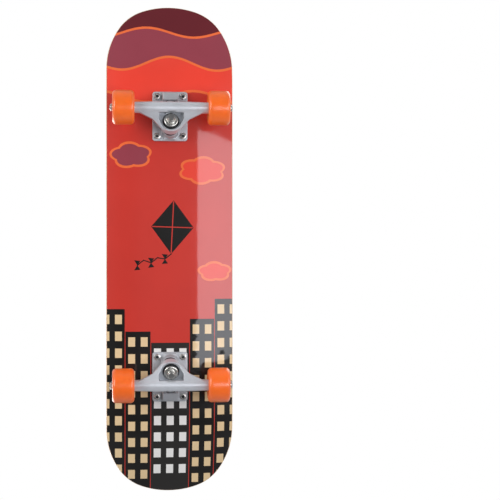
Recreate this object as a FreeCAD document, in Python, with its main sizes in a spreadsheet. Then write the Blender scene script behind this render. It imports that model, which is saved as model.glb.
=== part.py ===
import FreeCAD, Part
import math
import os

import Sketcher

Vector = FreeCAD.Vector
Rotation = FreeCAD.Rotation
Placement = FreeCAD.Placement

# Row frame: +X towards the nose, +Y to the left, +Z up, origin on the ground under
# the middle of the board. Each truck is laid out in its own frame: x outwards from
# the middle of its bolt pattern, z up from the underside of the deck.

SIZES = {
    # deck
    "deck_length": 787.0,
    "deck_width": 203.2,
    "deck_thickness": 11.0,
    "deck_height": 80.0,
    "deck_edge_rounding": 3.0,
    "concave_flat_half": 46.0,
    "concave_radius": 197.0,
    "kick_start": 258.0,
    "kick_radius": 130.0,
    "kick_angle": 19.0,
    "tip_radius": 130.0,
    "tip_sweep": 20.0,
    "shoulder_radius": 76.0,
    "shoulder_sweep": 56.0,
    "trim_margin": 30.0,
    "grip_thickness": 0.8,
    "grip_inset": 1.5,
    "grip_hole_radius": 5.0,
    # bolt pattern
    "front_truck_x": 211.75,
    "rear_truck_x": 204.0,
    "bolt_half_x": 31.75,
    "bolt_half_y": 20.65,
    "bolt_hole_radius": 2.6,
    "bolt_shank_radius": 2.4,
    "bolt_head_radius": 4.8,
    "bolt_head_depth": 2.4,
    "bolt_head_play": 0.15,
    "bolt_length": 22.2,
    "bolt_recess_depth": 1.6,
    "bolt_recess_half": 0.6,
    "bolt_recess_reach": 2.4,
    "nut_flats": 9.5,
    "nut_thickness": 4.6,
    "nut_bore_radius": 2.42,
    # baseplate
    "plate_half_x": 39.4,
    "plate_half_y": 28.0,
    "plate_thickness": 5.5,
    "plate_corner": 4.5,
    "plate_edge": 1.2,
    "pad_inner_x": 29.0,
    "pad_outer_x": 37.2,
    "pad_half_y": 9.5,
    "pad_depth": 9.2,
    "heel_inner_x": 12.5,
    "heel_mouth_x": 16.4,
    "heel_mouth_z": 8.0,
    "heel_lip_x": 25.0,
    "heel_lip_z": 23.8,
    "heel_back_x": 36.4,
    "heel_back_z": 18.5,
    "heel_outer_x": 38.0,
    "heel_root_z": 4.0,
    "heel_half_y": 12.6,
    "heel_rounding": 3.0,
    # pivot
    "pivot_x": 26.0,
    "pivot_z": 13.0,
    "pivot_ball_radius": 5.0,
    "pivot_play": 0.05,
    "pivot_nose_root": 8.0,
    "pivot_nose_length": 21.0,
    "cup_radius": 7.6,
    "cup_depth": 6.2,
    "cup_mouth": 4.6,
    "cup_mouth_flare": 6.4,
    "cup_fit": 0.05,
    # kingpin, measured from the middle of the hanger ring along the kingpin
    "ring_x": 14.3,
    "ring_z": 35.0,
    "kingpin_tilt": 18.0,
    "kingpin_radius": 4.75,
    "kingpin_tip": 24.4,
    "kingpin_chamfer": 0.8,
    "kingpin_head_flats": 14.3,
    "kingpin_head_base": 25.5,
    "kingpin_head_top": 30.5,
    "kingpin_hole_radius": 4.85,
    "head_pocket_play": 0.4,
    "seat_level": 21.5,
    "seat_radius": 12.4,
    "seat_root_radius": 13.4,
    "seat_root_level": 37.0,
    # hanger ring and bushings
    "ring_radius": 17.0,
    "ring_rim": 11.0,
    "ring_half": 4.5,
    "ring_hole_radius": 7.0,
    "bushing_radius": 12.75,
    "bushing_waist": 11.9,
    "bushing_bore": 5.0,
    "bushing_edge": 1.0,
    "board_bushing_height": 15.0,
    "road_bushing_height": 10.0,
    "cup_washer_thickness": 1.5,
    "cup_washer_radius": 11.2,
    "cup_washer_lip": 1.1,
    "bushing_top_radius": 10.0,
    "kingpin_nut_flats": 14.3,
    "kingpin_nut_height": 6.6,
    # hanger
    "axle_x": 9.0,
    "axle_z": 53.0,
    "hanger_half": 61.5,
    "beam_end_radius": 8.6,
    "beam_mid_radius": 9.6,
    "beam_mid_half": 24.0,
    "yoke_toe_x": 27.2,
    "yoke_toe_low": 43.9,
    "yoke_toe_back": 30.0,
    "yoke_toe_high": 35.3,
    "yoke_back_x": 2.6,
    "yoke_back_z": 26.4,
    "yoke_crown_x": 8.0,
    "yoke_crown_z": 22.0,
    "yoke_face_x": 17.5,
    "yoke_face_high": 24.0,
    "yoke_face_low": 47.0,
    "yoke_foot_x": 13.0,
    "yoke_foot_z": 61.4,
    "yoke_sole_x": 4.0,
    "yoke_sole_z": 60.4,
    "web_end_half": 54.0,
    "plan_beam_front": 15.0,
    "plan_beam_back": 3.0,
    "plan_face_front": 17.5,
    "plan_face_half": 30.0,
    "plan_web_back": 3.4,
    "plan_web_half": 40.0,
    "plan_hip_back": 8.6,
    "plan_hip_half": 29.0,
    "plan_flank_back": 24.4,
    "plan_flank_half": 13.6,
    "plan_toe_back": 29.6,
    "plan_toe_half": 6.4,
    "front_low": 62.0,
    "front_low_half": 38.0,
    "front_end_low": 58.6,
    "front_end_high": 47.4,
    "front_hip_high": 40.0,
    "front_hip_half": 29.0,
    "front_neck_half": 16.0,
    "front_neck_high": 27.0,
    "front_crown_half": 10.0,
    "front_crown_high": 20.0,
    "recess_floor": 9.5,
    "recess_half": 19.4,
    "recess_front": 1.6,
    "recess_knee": 8.6,
    "recess_toe": 22.0,
    "recess_toe_half": 11.4,
    "recess_clear": 80.0,
    "dish_radius": 15.3,
    "dish_level": 16.8,
    "bushing_well_radius": 13.1,
    "top_well_radius": 14.2,
    "top_well_margin": 8.0,
    "nut_well_radius": 10.4,
    "nut_well_level": 30.0,
    # axle
    "axle_radius": 4.0,
    "axle_half": 96.0,
    "axle_chamfer": 0.7,
    "speed_washer_radius": 6.4,
    "speed_washer_thickness": 1.0,
    "axle_bore_radius": 4.02,
    "axle_slip": 0.03,
    "axle_nut_flats": 12.7,
    "axle_nut_height": 7.2,
    # wheel
    "wheel_radius": 27.0,
    "wheel_width": 34.5,
    "wheel_shoulder": 6.0,
    "wheel_face_radius": 19.5,
    "wheel_mouth_radius": 15.0,
    "wheel_mouth_depth": 4.6,
    "wheel_core_radius": 9.0,
    # bearing
    "bearing_outer": 11.0,
    "bearing_outer_inner": 9.35,
    "bearing_inner_outer": 5.85,
    "bearing_width": 7.0,
    "bearing_pitch": 7.5,
    "ball_radius": 1.98,
    "groove_radius": 2.06,
    "shield_inner": 6.25,
    "shield_outer": 9.25,
    "shield_thickness": 0.3,
    "shield_inset": 0.25,
    "spacer_length": 10.0,
    "spacer_radius": 5.6,
    # tools that have to reach past the metal they cut, or pieces that have to overlap
    "overlap": 1.0,
    "reach": 20.0,
    "above_half": 100.0,
    "above_height": 60.0,
}

DERIVED = {
    "deck_half_length": "deck_length / 2",
    "deck_half_width": "deck_width / 2",
    "trim_length": "deck_length / 2 + trim_margin",
    "trim_width": "deck_width / 2 + trim_margin",
    "layer_top": "deck_thickness + grip_thickness",
    "bolt_hole_diameter": "2 * bolt_hole_radius",
    "bolt_sink_diameter": "2 * (bolt_head_radius + bolt_head_play)",
    "bolt_tip": "bolt_length - deck_thickness",
    "heel_width": "2 * heel_half_y",
    "cup_washer_rim": "cup_washer_radius - cup_washer_lip",
    "bushing_foot_radius": "bushing_radius - bushing_edge",
    "board_bushing_low": "ring_half + bushing_edge",
    "board_bushing_high": "ring_half + board_bushing_height - bushing_edge",
    "board_washer_end": "ring_half + board_bushing_height + cup_washer_thickness",
    "road_bushing_high": "ring_half + bushing_edge",
    "road_bushing_low": "ring_half + road_bushing_height / 2",
    "axle_tip_radius": "axle_radius - axle_chamfer",
    "axle_shoulder": "axle_half - axle_chamfer",
    "axle_slip_radius": "axle_radius + axle_slip",
    "cup_bore_radius": "cup_radius + cup_fit",
    "cup_bore_depth": "cup_depth + cup_fit",
    "ball_seat_radius": "pivot_ball_radius + pivot_play",
    "board_bushing_top": "ring_half + board_bushing_height",
    "road_bushing_end": "ring_half + road_bushing_height",
    "road_washer_end": "ring_half + road_bushing_height + cup_washer_thickness",
    "wheel_half": "wheel_width / 2",
    "bearing_end": "spacer_length / 2 + bearing_width",
    "bearing_start": "spacer_length / 2",
    "wheel_mouth_floor": "wheel_width / 2 - wheel_mouth_depth",
    "front_inner_x": "front_truck_x - bolt_half_x",
    "front_outer_x": "front_truck_x + bolt_half_x",
    "rear_inner_x": "rear_truck_x - bolt_half_x",
    "rear_outer_x": "rear_truck_x + bolt_half_x",
    "wheel_centre": "hanger_half + speed_washer_thickness + bearing_width + spacer_length / 2",
}

WHEEL_SIDES = (("left", 1), ("right", -1))
BALL_COUNT = 7
HEX_SIDES = 6
FULL_TURN = 360.0
LINEAR_TOLERANCE = 1e-3

DOC = FreeCAD.newDocument("Skateboard")
SHEET = DOC.addObject("Spreadsheet::Sheet", "Sizes")


def fill_sheet():
    """Driving sizes as plain numbers, followed by the few that follow from them."""
    for row, (alias, size) in enumerate(SIZES.items(), start=1):
        SHEET.set(f"A{row}", alias.replace("_", " "))
        SHEET.set(f"B{row}", str(size))
        SHEET.setAlias(f"B{row}", alias)
    for row, (alias, formula) in enumerate(DERIVED.items(), start=len(SIZES) + 1):
        SHEET.set(f"A{row}", alias.replace("_", " "))
        SHEET.set(f"B{row}", f"={formula}")
        SHEET.setAlias(f"B{row}", alias)
    DOC.recompute()


def size(name):
    """Number behind an alias; a leading minus changes its sign and None is zero."""
    if name is None:
        return 0.0
    if name.startswith("-"):
        return -float(SHEET.get(name[1:]))
    return float(SHEET.get(name))


def bind(item, path, name):
    sign = "-" if name.startswith("-") else ""
    item.setExpression(path, f"{sign}Sizes.{name.lstrip('-')}")


def formula(text):
    """Expression over the sheet: every word in it that is an alias gets its prefix."""
    words = text.split()
    known = {**SIZES, **DERIVED}
    return " ".join(f"Sizes.{word}" if word in known else word for word in words)


def new_body(name):
    body = DOC.addObject("PartDesign::Body", name)
    body.Label = name
    return body


def origin_feature(body, role):
    return next(f for f in body.Origin.OriginFeatures if f.Role == role)


def new_sketch(body, name, plane="XZ_Plane", offset=None):
    """Sketch on an origin plane of a body, lifted off it by the size called offset."""
    sketch = body.newObject("Sketcher::SketchObject", name)
    sketch.AttachmentSupport = [(origin_feature(body, plane), "")]
    sketch.MapMode = "FlatFace"
    if offset:
        bind(sketch, "AttachmentOffset.Base.z", offset)
    return sketch


def loose_sketch(name, rotation):
    sketch = DOC.addObject("Sketcher::SketchObject", name)
    sketch.Placement = Placement(Vector(), rotation)
    return sketch


def fix_point(sketch, curve, end, corner):
    """Ties an end of a curve to a pair of named sizes."""
    for kind, axis, name in (("DistanceX", -2, corner[0]), ("DistanceY", -1, corner[1])):
        if name is None:
            sketch.addConstraint(Sketcher.Constraint("PointOnObject", curve, end, axis))
            continue
        index = sketch.addConstraint(Sketcher.Constraint(kind, -1, 1, curve, end, size(name)))
        bind(sketch, f"Constraints[{index}]", name)


def join_ends(sketch, first, count):
    for step in range(count):
        follower = first + (step + 1) % count
        sketch.addConstraint(Sketcher.Constraint("Coincident", first + step, 2, follower, 1))


def polygon(sketch, corners):
    points = [Vector(size(x), size(y), 0) for x, y in corners]
    first = len(sketch.Geometry)
    for start, end in zip(points, points[1:] + points[:1]):
        sketch.addGeometry(Part.LineSegment(start, end), False)
    join_ends(sketch, first, len(points))
    for step, corner in enumerate(corners):
        fix_point(sketch, first + step, 1, corner)


def circle(sketch, x, y, radius):
    centre = Vector(size(x), size(y), 0)
    index = sketch.addGeometry(Part.Circle(centre, Vector(0, 0, 1), size(radius)), False)
    fix_point(sketch, index, 3, (x, y))
    rule = sketch.addConstraint(Sketcher.Constraint("Radius", index, size(radius)))
    bind(sketch, f"Constraints[{rule}]", radius)


def revolve(body, name, corners):
    """Solid of revolution about the body's z axis from (radius, height) corners."""
    sketch = new_sketch(body, name + "_profile")
    polygon(sketch, corners)
    turned = body.newObject("PartDesign::Revolution", name)
    turned.Profile = sketch
    turned.ReferenceAxis = (sketch, ["V_Axis"])
    turned.Angle = FULL_TURN
    return turned


def pad(body, name, sketch, length, midplane=False, reverse=False):
    block = body.newObject("PartDesign::Pad", name)
    block.Profile = sketch
    bind(block, "Length", length)
    block.SideType = "Symmetric" if midplane else "One side"
    block.Reversed = reverse
    return block


def through_pocket(body, name, sketch):
    cut = body.newObject("PartDesign::Pocket", name)
    cut.Profile = sketch
    cut.Type = "ThroughAll"
    cut.SideType = "Symmetric"
    return cut


def fillet(body, name, radius, wanted):
    """Rounds the edges of a body's latest feature that pass the test called wanted."""
    base = body.Tip
    edges = [f"Edge{i}" for i, edge in enumerate(base.Shape.Edges, start=1) if wanted(edge)]
    rounding = body.newObject("PartDesign::Fillet", name)
    rounding.Base = (base, edges)
    bind(rounding, "Radius", radius)
    DOC.recompute()
    return rounding


def set_levels(item, bottom, top):
    """Puts a primitive between two levels along its own z axis."""
    item.setExpression("Height", formula(f"{top} - ( {bottom} )"))
    item.setExpression("Placement.Base.z", formula(bottom))


def hexagon(name, flats, bottom, top):
    """Hexagonal prism along z with a given width across flats."""
    prism = DOC.addObject("Part::Prism", name)
    prism.Polygon = HEX_SIDES
    prism.setExpression("Circumradius", formula(f"( {flats} ) / 2 / cos( 30 )"))
    set_levels(prism, bottom, top)
    return prism


def cylinder(name, radius, bottom, top):
    rod = DOC.addObject("Part::Cylinder", name)
    rod.setExpression("Radius", formula(radius))
    set_levels(rod, bottom, top)
    return rod


def cone(name, low_radius, high_radius, bottom, top):
    taper = DOC.addObject("Part::Cone", name)
    taper.setExpression("Radius1", formula(low_radius))
    taper.setExpression("Radius2", formula(high_radius))
    set_levels(taper, bottom, top)
    return taper


def ball(name, radius):
    sphere = DOC.addObject("Part::Sphere", name)
    sphere.setExpression("Radius", formula(radius))
    return sphere


def placed(item, frame):
    """Moves an item that was made in a local frame into the frame around it."""
    item.recompute()
    item.setExpression("Placement.Base.z", None)
    item.Placement = frame.multiply(item.Placement)
    return item


def fuse(name, shapes):
    union = DOC.addObject("Part::MultiFuse", name)
    union.Shapes = shapes
    union.Refine = True
    return union


def cut(name, base, tool):
    rest = DOC.addObject("Part::Cut", name)
    rest.Base = base
    rest.Tool = tool
    return rest


def common(name, shapes):
    shared = DOC.addObject("Part::MultiCommon", name)
    shared.Shapes = shapes
    return shared


def extrusion(name, sketch, half):
    """Both-way extrusion of a sketch, as far as the size called half."""
    block = DOC.addObject("Part::Extrusion", name)
    block.Base = sketch
    block.DirMode = "Normal"
    block.Solid = True
    bind(block, "LengthFwd", half)
    bind(block, "LengthRev", half)
    return block


# ---------------------------------------------------------------- frames

ACROSS = Vector(0, 1, 0)
UPWARDS = Vector(0, 0, 1)
HALF_TURN = 180.0
QUARTER_TURN = 90.0


def truck_frame(end):
    """Frame of one truck: end is 1 at the nose and -1 at the tail."""
    station, turn = ("front_truck_x", 0.0) if end > 0 else ("rear_truck_x", HALF_TURN)
    place = Vector(end * size(station), 0, size("deck_height"))
    return Placement(place, Rotation(UPWARDS, turn))


def kingpin_frame():
    """Origin in the middle of the hanger ring, z along the kingpin towards the deck."""
    middle = Vector(-size("ring_x"), 0, -size("ring_z"))
    return Placement(middle, Rotation(ACROSS, -size("kingpin_tilt")))


def pivot_frame():
    """Origin in the middle of the pivot ball, z along the steering axis into the cup."""
    rise = size("ring_z") - size("pivot_z")
    run = size("ring_x") + size("pivot_x")
    lean = math.degrees(math.atan2(run, rise))
    return Placement(Vector(size("pivot_x"), 0, -size("pivot_z")), Rotation(ACROSS, lean))


def axle_frame():
    """Origin in the middle of the axle, z along it towards the board's left side."""
    middle = Vector(size("axle_x"), 0, -size("axle_z"))
    return Placement(middle, Rotation(Vector(1, 0, 0), -QUARTER_TURN))


def wheel_frame(side):
    """Origin in the middle of a wheel, z outwards along the axle."""
    outwards = Placement(Vector(0, 0, side * size("wheel_centre")), Rotation())
    if side < 0:
        outwards.Rotation = Rotation(Vector(1, 0, 0), HALF_TURN)
    return axle_frame().multiply(outwards)


# ---------------------------------------------------------------- deck


def profile_sketch(body, name, low, high):
    """Closed section: flat middle and two side arcs, at levels low and high."""
    sketch = new_sketch(body, name, "YZ_Plane")
    flat, radius = size("concave_flat_half"), size("concave_radius")
    edge = size("trim_width")
    levels = [size(low), size(high)]

    def side_arc(sign, level):
        reach = math.asin((edge - flat) / (radius - level))
        start, end = (-reach, 0.0) if sign < 0 else (0.0, reach)
        ring = Part.Circle(Vector(sign * flat, radius, 0), UPWARDS, radius - level)
        return Part.ArcOfCircle(ring, start - math.pi / 2, end - math.pi / 2)

    right_low, right_high = side_arc(1, levels[0]), side_arc(1, levels[1])
    left_low, left_high = side_arc(-1, levels[0]), side_arc(-1, levels[1])
    flat_low = Part.LineSegment(left_low.EndPoint, right_low.StartPoint)
    flat_high = Part.LineSegment(left_high.EndPoint, right_high.StartPoint)
    right_end = Part.LineSegment(right_low.EndPoint, right_high.EndPoint)
    left_end = Part.LineSegment(left_low.StartPoint, left_high.StartPoint)
    curves = [flat_low, right_low, right_end, right_high, flat_high, left_high, left_end, left_low]
    sketch.addGeometry(curves, False)
    meetings = ((0, 2, 1, 1), (1, 2, 2, 1), (2, 2, 3, 2), (3, 1, 4, 2))
    meetings += ((4, 1, 5, 2), (5, 1, 6, 2), (6, 1, 7, 1), (7, 2, 0, 1))
    for first, first_end, second, second_end in meetings:
        rule = Sketcher.Constraint("Coincident", first, first_end, second, second_end)
        sketch.addConstraint(rule)
    for arc, name_x in ((1, "concave_flat_half"), (5, "-concave_flat_half")):
        fix_point(sketch, arc, 3, (name_x, "concave_radius"))
    for arc, twin in ((1, 3), (5, 7)):
        sketch.addConstraint(Sketcher.Constraint("Coincident", arc, 3, twin, 3))
    low_corner = None if not levels[0] else low
    fix_point(sketch, 0, 1, ("-concave_flat_half", low_corner))
    fix_point(sketch, 0, 2, ("concave_flat_half", low_corner))
    fix_point(sketch, 4, 1, ("-concave_flat_half", high))
    fix_point(sketch, 4, 2, ("concave_flat_half", high))
    for line, name_x in ((2, "trim_width"), (6, "-trim_width")):
        for end in (1, 2):
            rule = Sketcher.Constraint("DistanceX", -1, 1, line, end, size(name_x))
            bind(sketch, f"Constraints[{sketch.addConstraint(rule)}]", name_x)
    return sketch


def spine_sketch(body, name):
    """Side view of the underside from the middle out: flat, bend and straight kick."""
    sketch = new_sketch(body, name, "XZ_Plane")
    start, radius = size("kick_start"), size("kick_radius")
    angle = math.radians(size("kick_angle"))
    ring = Part.Circle(Vector(start, radius, 0), UPWARDS, radius)
    bend = Part.ArcOfCircle(ring, -math.pi / 2, -math.pi / 2 + angle)
    reach = (size("trim_length") - bend.EndPoint.x) / math.cos(angle)
    tip = bend.EndPoint + Vector(math.cos(angle), math.sin(angle), 0) * reach
    flat = Part.LineSegment(Vector(), Vector(start, 0, 0))
    sketch.addGeometry([flat, bend, Part.LineSegment(bend.EndPoint, tip)], False)
    fix_point(sketch, 0, 1, (None, None))
    fix_point(sketch, 0, 2, ("kick_start", None))
    fix_point(sketch, 1, 3, ("kick_start", "kick_radius"))
    sketch.addConstraint(Sketcher.Constraint("Coincident", 0, 2, 1, 1))
    sketch.addConstraint(Sketcher.Constraint("Tangent", 1, 2, 2, 1))
    rise = sketch.addConstraint(Sketcher.Constraint("Angle", 0, 1, 2, 1, angle))
    bind(sketch, f"Constraints[{rise}]", "kick_angle * 1deg")
    run = Sketcher.Constraint("DistanceX", -1, 1, 2, 2, size("trim_length"))
    bind(sketch, f"Constraints[{sketch.addConstraint(run)}]", "trim_length")
    return sketch


def end_arcs(inset):
    """Tip, shoulder and side arcs of a quarter of the outline, as (centre, radius, angles)."""
    tip = size("tip_radius") - inset
    shoulder = size("shoulder_radius") - inset
    first = math.radians(size("tip_sweep"))
    second = math.radians(size("shoulder_sweep"))
    tip_centre = Vector(size("deck_half_length") - inset - tip, 0, 0)
    direction = Vector(math.cos(first), math.sin(first), 0)
    shoulder_centre = tip_centre + direction * (tip - shoulder)
    side_y = size("deck_half_width") - inset - shoulder_centre.y
    turn = math.sin(second)
    side = (side_y - shoulder * turn) / (1.0 - turn)
    outwards = Vector(math.cos(second), turn, 0)
    side_centre = shoulder_centre + outwards * (shoulder - side)
    return (
        (tip_centre, tip, -first, first),
        (shoulder_centre, shoulder, first, second),
        (side_centre, side, second, math.pi / 2),
    )


def outline_curves(inset):
    """Whole outline of the board, anticlockwise from the tip arc of the nose."""
    tip, shoulder, side = end_arcs(inset)

    def arc(shape, flip_x, flip_y):
        centre, radius, start, end = shape
        middle = Vector(flip_x * centre.x, flip_y * centre.y, 0)
        if flip_y < 0:
            start, end = -end, -start
        if flip_x < 0:
            start, end = math.pi - end, math.pi - start
        return Part.ArcOfCircle(Part.Circle(middle, UPWARDS, radius), start, end)

    nose_left = [arc(shoulder, 1, 1), arc(side, 1, 1)]
    tail_left = [arc(side, -1, 1), arc(shoulder, -1, 1)]
    tail_right = [arc(shoulder, -1, -1), arc(side, -1, -1)]
    nose_right = [arc(side, 1, -1), arc(shoulder, 1, -1)]
    left = Part.LineSegment(nose_left[1].EndPoint, tail_left[0].StartPoint)
    right = Part.LineSegment(tail_right[1].EndPoint, nose_right[0].StartPoint)
    curves = [arc(tip, 1, 1)] + nose_left + [left] + tail_left
    return curves + [arc(tip, -1, 1)] + tail_right + [right] + nose_right


def outline_sketch(body, name, inset):
    """Everything outside the board's outline, as a frame to be cut away."""
    sketch = new_sketch(body, name, "XY_Plane")
    curves = outline_curves(inset)
    sketch.addGeometry(curves, False)
    join_ends(sketch, 0, len(curves))
    half_turns = (("deck_half_width", 3), ("-deck_half_width", 9))
    if not inset:
        for name_y, line in half_turns:
            fix = Sketcher.Constraint("DistanceY", -1, 1, line, 1, size(name_y))
            bind(sketch, f"Constraints[{sketch.addConstraint(fix)}]", name_y)
        for index, radius in ((0, "tip_radius"), (1, "shoulder_radius"), (6, "tip_radius")):
            rule = sketch.addConstraint(Sketcher.Constraint("Radius", index, size(radius)))
            bind(sketch, f"Constraints[{rule}]", radius)
    frame = (("trim_length", "trim_width"), ("-trim_length", "trim_width"))
    frame += (("-trim_length", "-trim_width"), ("trim_length", "-trim_width"))
    polygon(sketch, [tuple(corner) for corner in frame])
    return sketch


def bolt_places():
    """Names of the eight bolt positions in the deck's plane, as (x, y) sizes."""
    return [
        (x, y)
        for x in ("front_outer_x", "front_inner_x", "-rear_inner_x", "-rear_outer_x")
        for y in ("bolt_half_y", "-bolt_half_y")
    ]


def board_layer(name, low, high, inset):
    """One pressed layer of the board, swept along its side view and cut to outline."""
    body = new_body(name)
    section = profile_sketch(body, name + "_section", low, high)
    spine = spine_sketch(body, name + "_spine")
    DOC.recompute()
    sweep = body.newObject("PartDesign::AdditivePipe", name + "_press")
    sweep.Profile = section
    sweep.Spine = (spine, ["Edge1", "Edge2", "Edge3"])
    DOC.recompute()
    mirror = body.newObject("PartDesign::Mirrored", name + "_tail_half")
    mirror.Originals = [sweep]
    mirror.MirrorPlane = (origin_feature(body, "YZ_Plane"), [""])
    body.Tip = mirror
    DOC.recompute()
    through_pocket(body, name + "_trim", outline_sketch(body, name + "_outline", inset))
    DOC.recompute()
    body.Placement = Placement(Vector(0, 0, size("deck_height")), Rotation())
    return body


def deck():
    body = board_layer("deck", None, "deck_thickness", 0.0)
    holes = new_sketch(body, "deck_bolt_marks", "XY_Plane", "deck_thickness")
    for x, y in bolt_places():
        circle(holes, x, y, "bolt_hole_radius")
    DOC.recompute()
    drill = body.newObject("PartDesign::Hole", "deck_bolt_holes")
    drill.Profile = holes
    drill.ThreadType = "None"
    drill.DepthType = "ThroughAll"
    drill.HoleCutType = "Countersink"
    bind(drill, "Diameter", "bolt_hole_diameter")
    bind(drill, "HoleCutDiameter", "bolt_sink_diameter")
    drill.HoleCutCountersinkAngle = QUARTER_TURN
    DOC.recompute()
    return body


def grip_tape():
    body = board_layer("grip_tape", "deck_thickness", "layer_top", size("grip_inset"))
    holes = new_sketch(body, "grip_tape_holes", "XY_Plane")
    for x, y in bolt_places():
        circle(holes, x, y, "grip_hole_radius")
    through_pocket(body, "grip_tape_punch", holes)
    return body


# ---------------------------------------------------------------- truck, fixed pieces

BOLT_SIGNS = ((1, 1), (1, -1), (-1, 1), (-1, -1))


def at_bolts(name, make):
    """Four copies of a small piece, one at each bolt of a truck."""
    copies = []
    for count, (sign_x, sign_y) in enumerate(BOLT_SIGNS, start=1):
        item = make(f"{name}_{count}")
        place = Vector(sign_x * size("bolt_half_x"), sign_y * size("bolt_half_y"), 0)
        copies.append(placed(item, Placement(place, Rotation())))
    return copies


def compound(name, items):
    group = DOC.addObject("Part::Compound", name)
    group.Links = items
    group.Label = name
    return group


def finish(item, name, frame):
    item.Label = name
    item.Placement = frame
    return item


def deck_bolt(name):
    """Countersunk bolt: head in the top of the deck, cross recess, plain shank."""
    root = "deck_thickness - bolt_head_depth"
    head = cone(name + "_head", "bolt_shank_radius", "bolt_head_radius", root, "deck_thickness")
    shank = cylinder(name + "_shank", "bolt_shank_radius", "- bolt_tip", "deck_thickness - overlap")
    solid = fuse(name + "_blank", [head, shank])
    arms = []
    for turn in (0.0, QUARTER_TURN):
        arm = DOC.addObject("Part::Box", f"{name}_slot_{int(turn)}")
        arm.setExpression("Length", formula("2 * bolt_recess_reach"))
        arm.setExpression("Width", formula("2 * bolt_recess_half"))
        arm.setExpression("Height", formula("2 * bolt_recess_depth"))
        corner = Vector(-size("bolt_recess_reach"), -size("bolt_recess_half"), 0)
        lift = Vector(0, 0, size("deck_thickness") - size("bolt_recess_depth"))
        turned = Rotation(UPWARDS, turn)
        arm.Placement = Placement(lift + turned.multVec(corner), turned)
        arms.append(arm)
    return cut(name, solid, fuse(name + "_slots", arms))


def deck_nut(name):
    """Lock nut on a deck bolt, resting on the baseplate."""
    bottom = "- plate_thickness - nut_thickness"
    body = hexagon(name + "_hex", "nut_flats", bottom, "- plate_thickness")
    bore = cylinder(name + "_bore", "nut_bore_radius", bottom, "- plate_thickness")
    return cut(name, body, bore)


def plate_body(name):
    """Flat plate with rounded corners, side pads and four bolt holes."""
    body = new_body(name)
    face = new_sketch(body, name + "_face", "XY_Plane")
    corners = [("plate_half_x", "plate_half_y"), ("-plate_half_x", "plate_half_y")]
    corners += [("-plate_half_x", "-plate_half_y"), ("plate_half_x", "-plate_half_y")]
    polygon(face, corners)
    pad(body, name + "_plate", face, "plate_thickness", reverse=True)
    DOC.recompute()
    depth = size("plate_thickness")
    fillet(body, name + "_corners", "plate_corner", lambda edge: abs(edge.Length - depth) < LINEAR_TOLERANCE)
    fillet(body, name + "_rim", "plate_edge", lambda edge: edge.BoundBox.ZMax < LINEAR_TOLERANCE - depth)
    holes = new_sketch(body, name + "_holes", "XY_Plane")
    for x in ("bolt_half_x", "-bolt_half_x"):
        for y in ("bolt_half_y", "-bolt_half_y"):
            circle(holes, x, y, "bolt_hole_radius")
    through_pocket(body, name + "_drilling", holes)
    return body


def heel_body(name):
    """Block that carries the pivot cup, as a side profile across the plate."""
    body = new_body(name)
    side = new_sketch(body, name + "_side")
    polygon(
        side,
        [
            ("heel_inner_x", "-heel_root_z"),
            ("heel_mouth_x", "-heel_mouth_z"),
            ("heel_lip_x", "-heel_lip_z"),
            ("heel_back_x", "-heel_back_z"),
            ("heel_outer_x", "-heel_root_z"),
        ],
    )
    pad(body, name + "_block", side, "heel_width", midplane=True)
    DOC.recompute()
    lip, back = size("heel_lip_z"), size("heel_back_z")

    def is_cheek(edge):
        box = edge.BoundBox
        return box.YLength < LINEAR_TOLERANCE and -lip - LINEAR_TOLERANCE < box.ZMin < LINEAR_TOLERANCE - back

    fillet(body, name + "_cheeks", "heel_rounding", is_cheek)
    return body


def baseplate(name, truck):
    """Cast plate with the kingpin seat, the pivot heel and a plain raised pad."""
    plate = plate_body(name + "_plate")
    heel = heel_body(name + "_heel")
    seat = cone(name + "_seat", "seat_radius", "seat_root_radius", "seat_level", "seat_root_level")
    placed(seat, kingpin_frame())
    block = DOC.addObject("Part::Box", name + "_pad")
    block.setExpression("Length", formula("pad_outer_x - pad_inner_x"))
    block.setExpression("Width", formula("2 * pad_half_y"))
    block.setExpression("Height", formula("pad_depth - plate_thickness / 2"))
    block.Placement.Base = Vector(-size("pad_outer_x"), -size("pad_half_y"), -size("pad_depth"))
    casting = fuse(name + "_casting", [plate, heel, seat, block])
    shaft = cylinder(
        name + "_kingpin_hole",
        "kingpin_hole_radius",
        "seat_level - overlap",
        "seat_root_level + reach",
    )
    pocket = hexagon(
        name + "_head_pocket",
        "kingpin_head_flats + head_pocket_play",
        "kingpin_head_base",
        "seat_root_level + reach",
    )
    for tool in (shaft, pocket):
        placed(tool, kingpin_frame())
    bore = cylinder(name + "_cup_bore", "cup_bore_radius", "- cup_depth - reach", "cup_bore_depth")
    placed(bore, pivot_frame())
    above = DOC.addObject("Part::Box", name + "_above")
    above.setExpression("Length", formula("2 * above_half"))
    above.setExpression("Width", formula("2 * above_half"))
    above.setExpression("Height", formula("above_height"))
    above.Placement.Base = Vector(-size("above_half"), -size("above_half"), 0)
    rest = cut(name, casting, fuse(name + "_hollows", [shaft, pocket, bore, above]))
    return finish(rest, name, truck)


def pivot_cup(name, truck):
    """Plastic cup that the hanger's ball turns in."""
    shell = cylinder(name + "_shell", "cup_radius", "- cup_mouth", "cup_depth")
    seat = ball(name + "_seat", "ball_seat_radius")
    mouth = cone(name + "_mouth", "cup_mouth_flare", "ball_seat_radius", "- cup_mouth", "0")
    hollow = fuse(name + "_hollow", [seat, mouth])
    return finish(cut(name, shell, hollow), name, truck.multiply(pivot_frame()))


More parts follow.
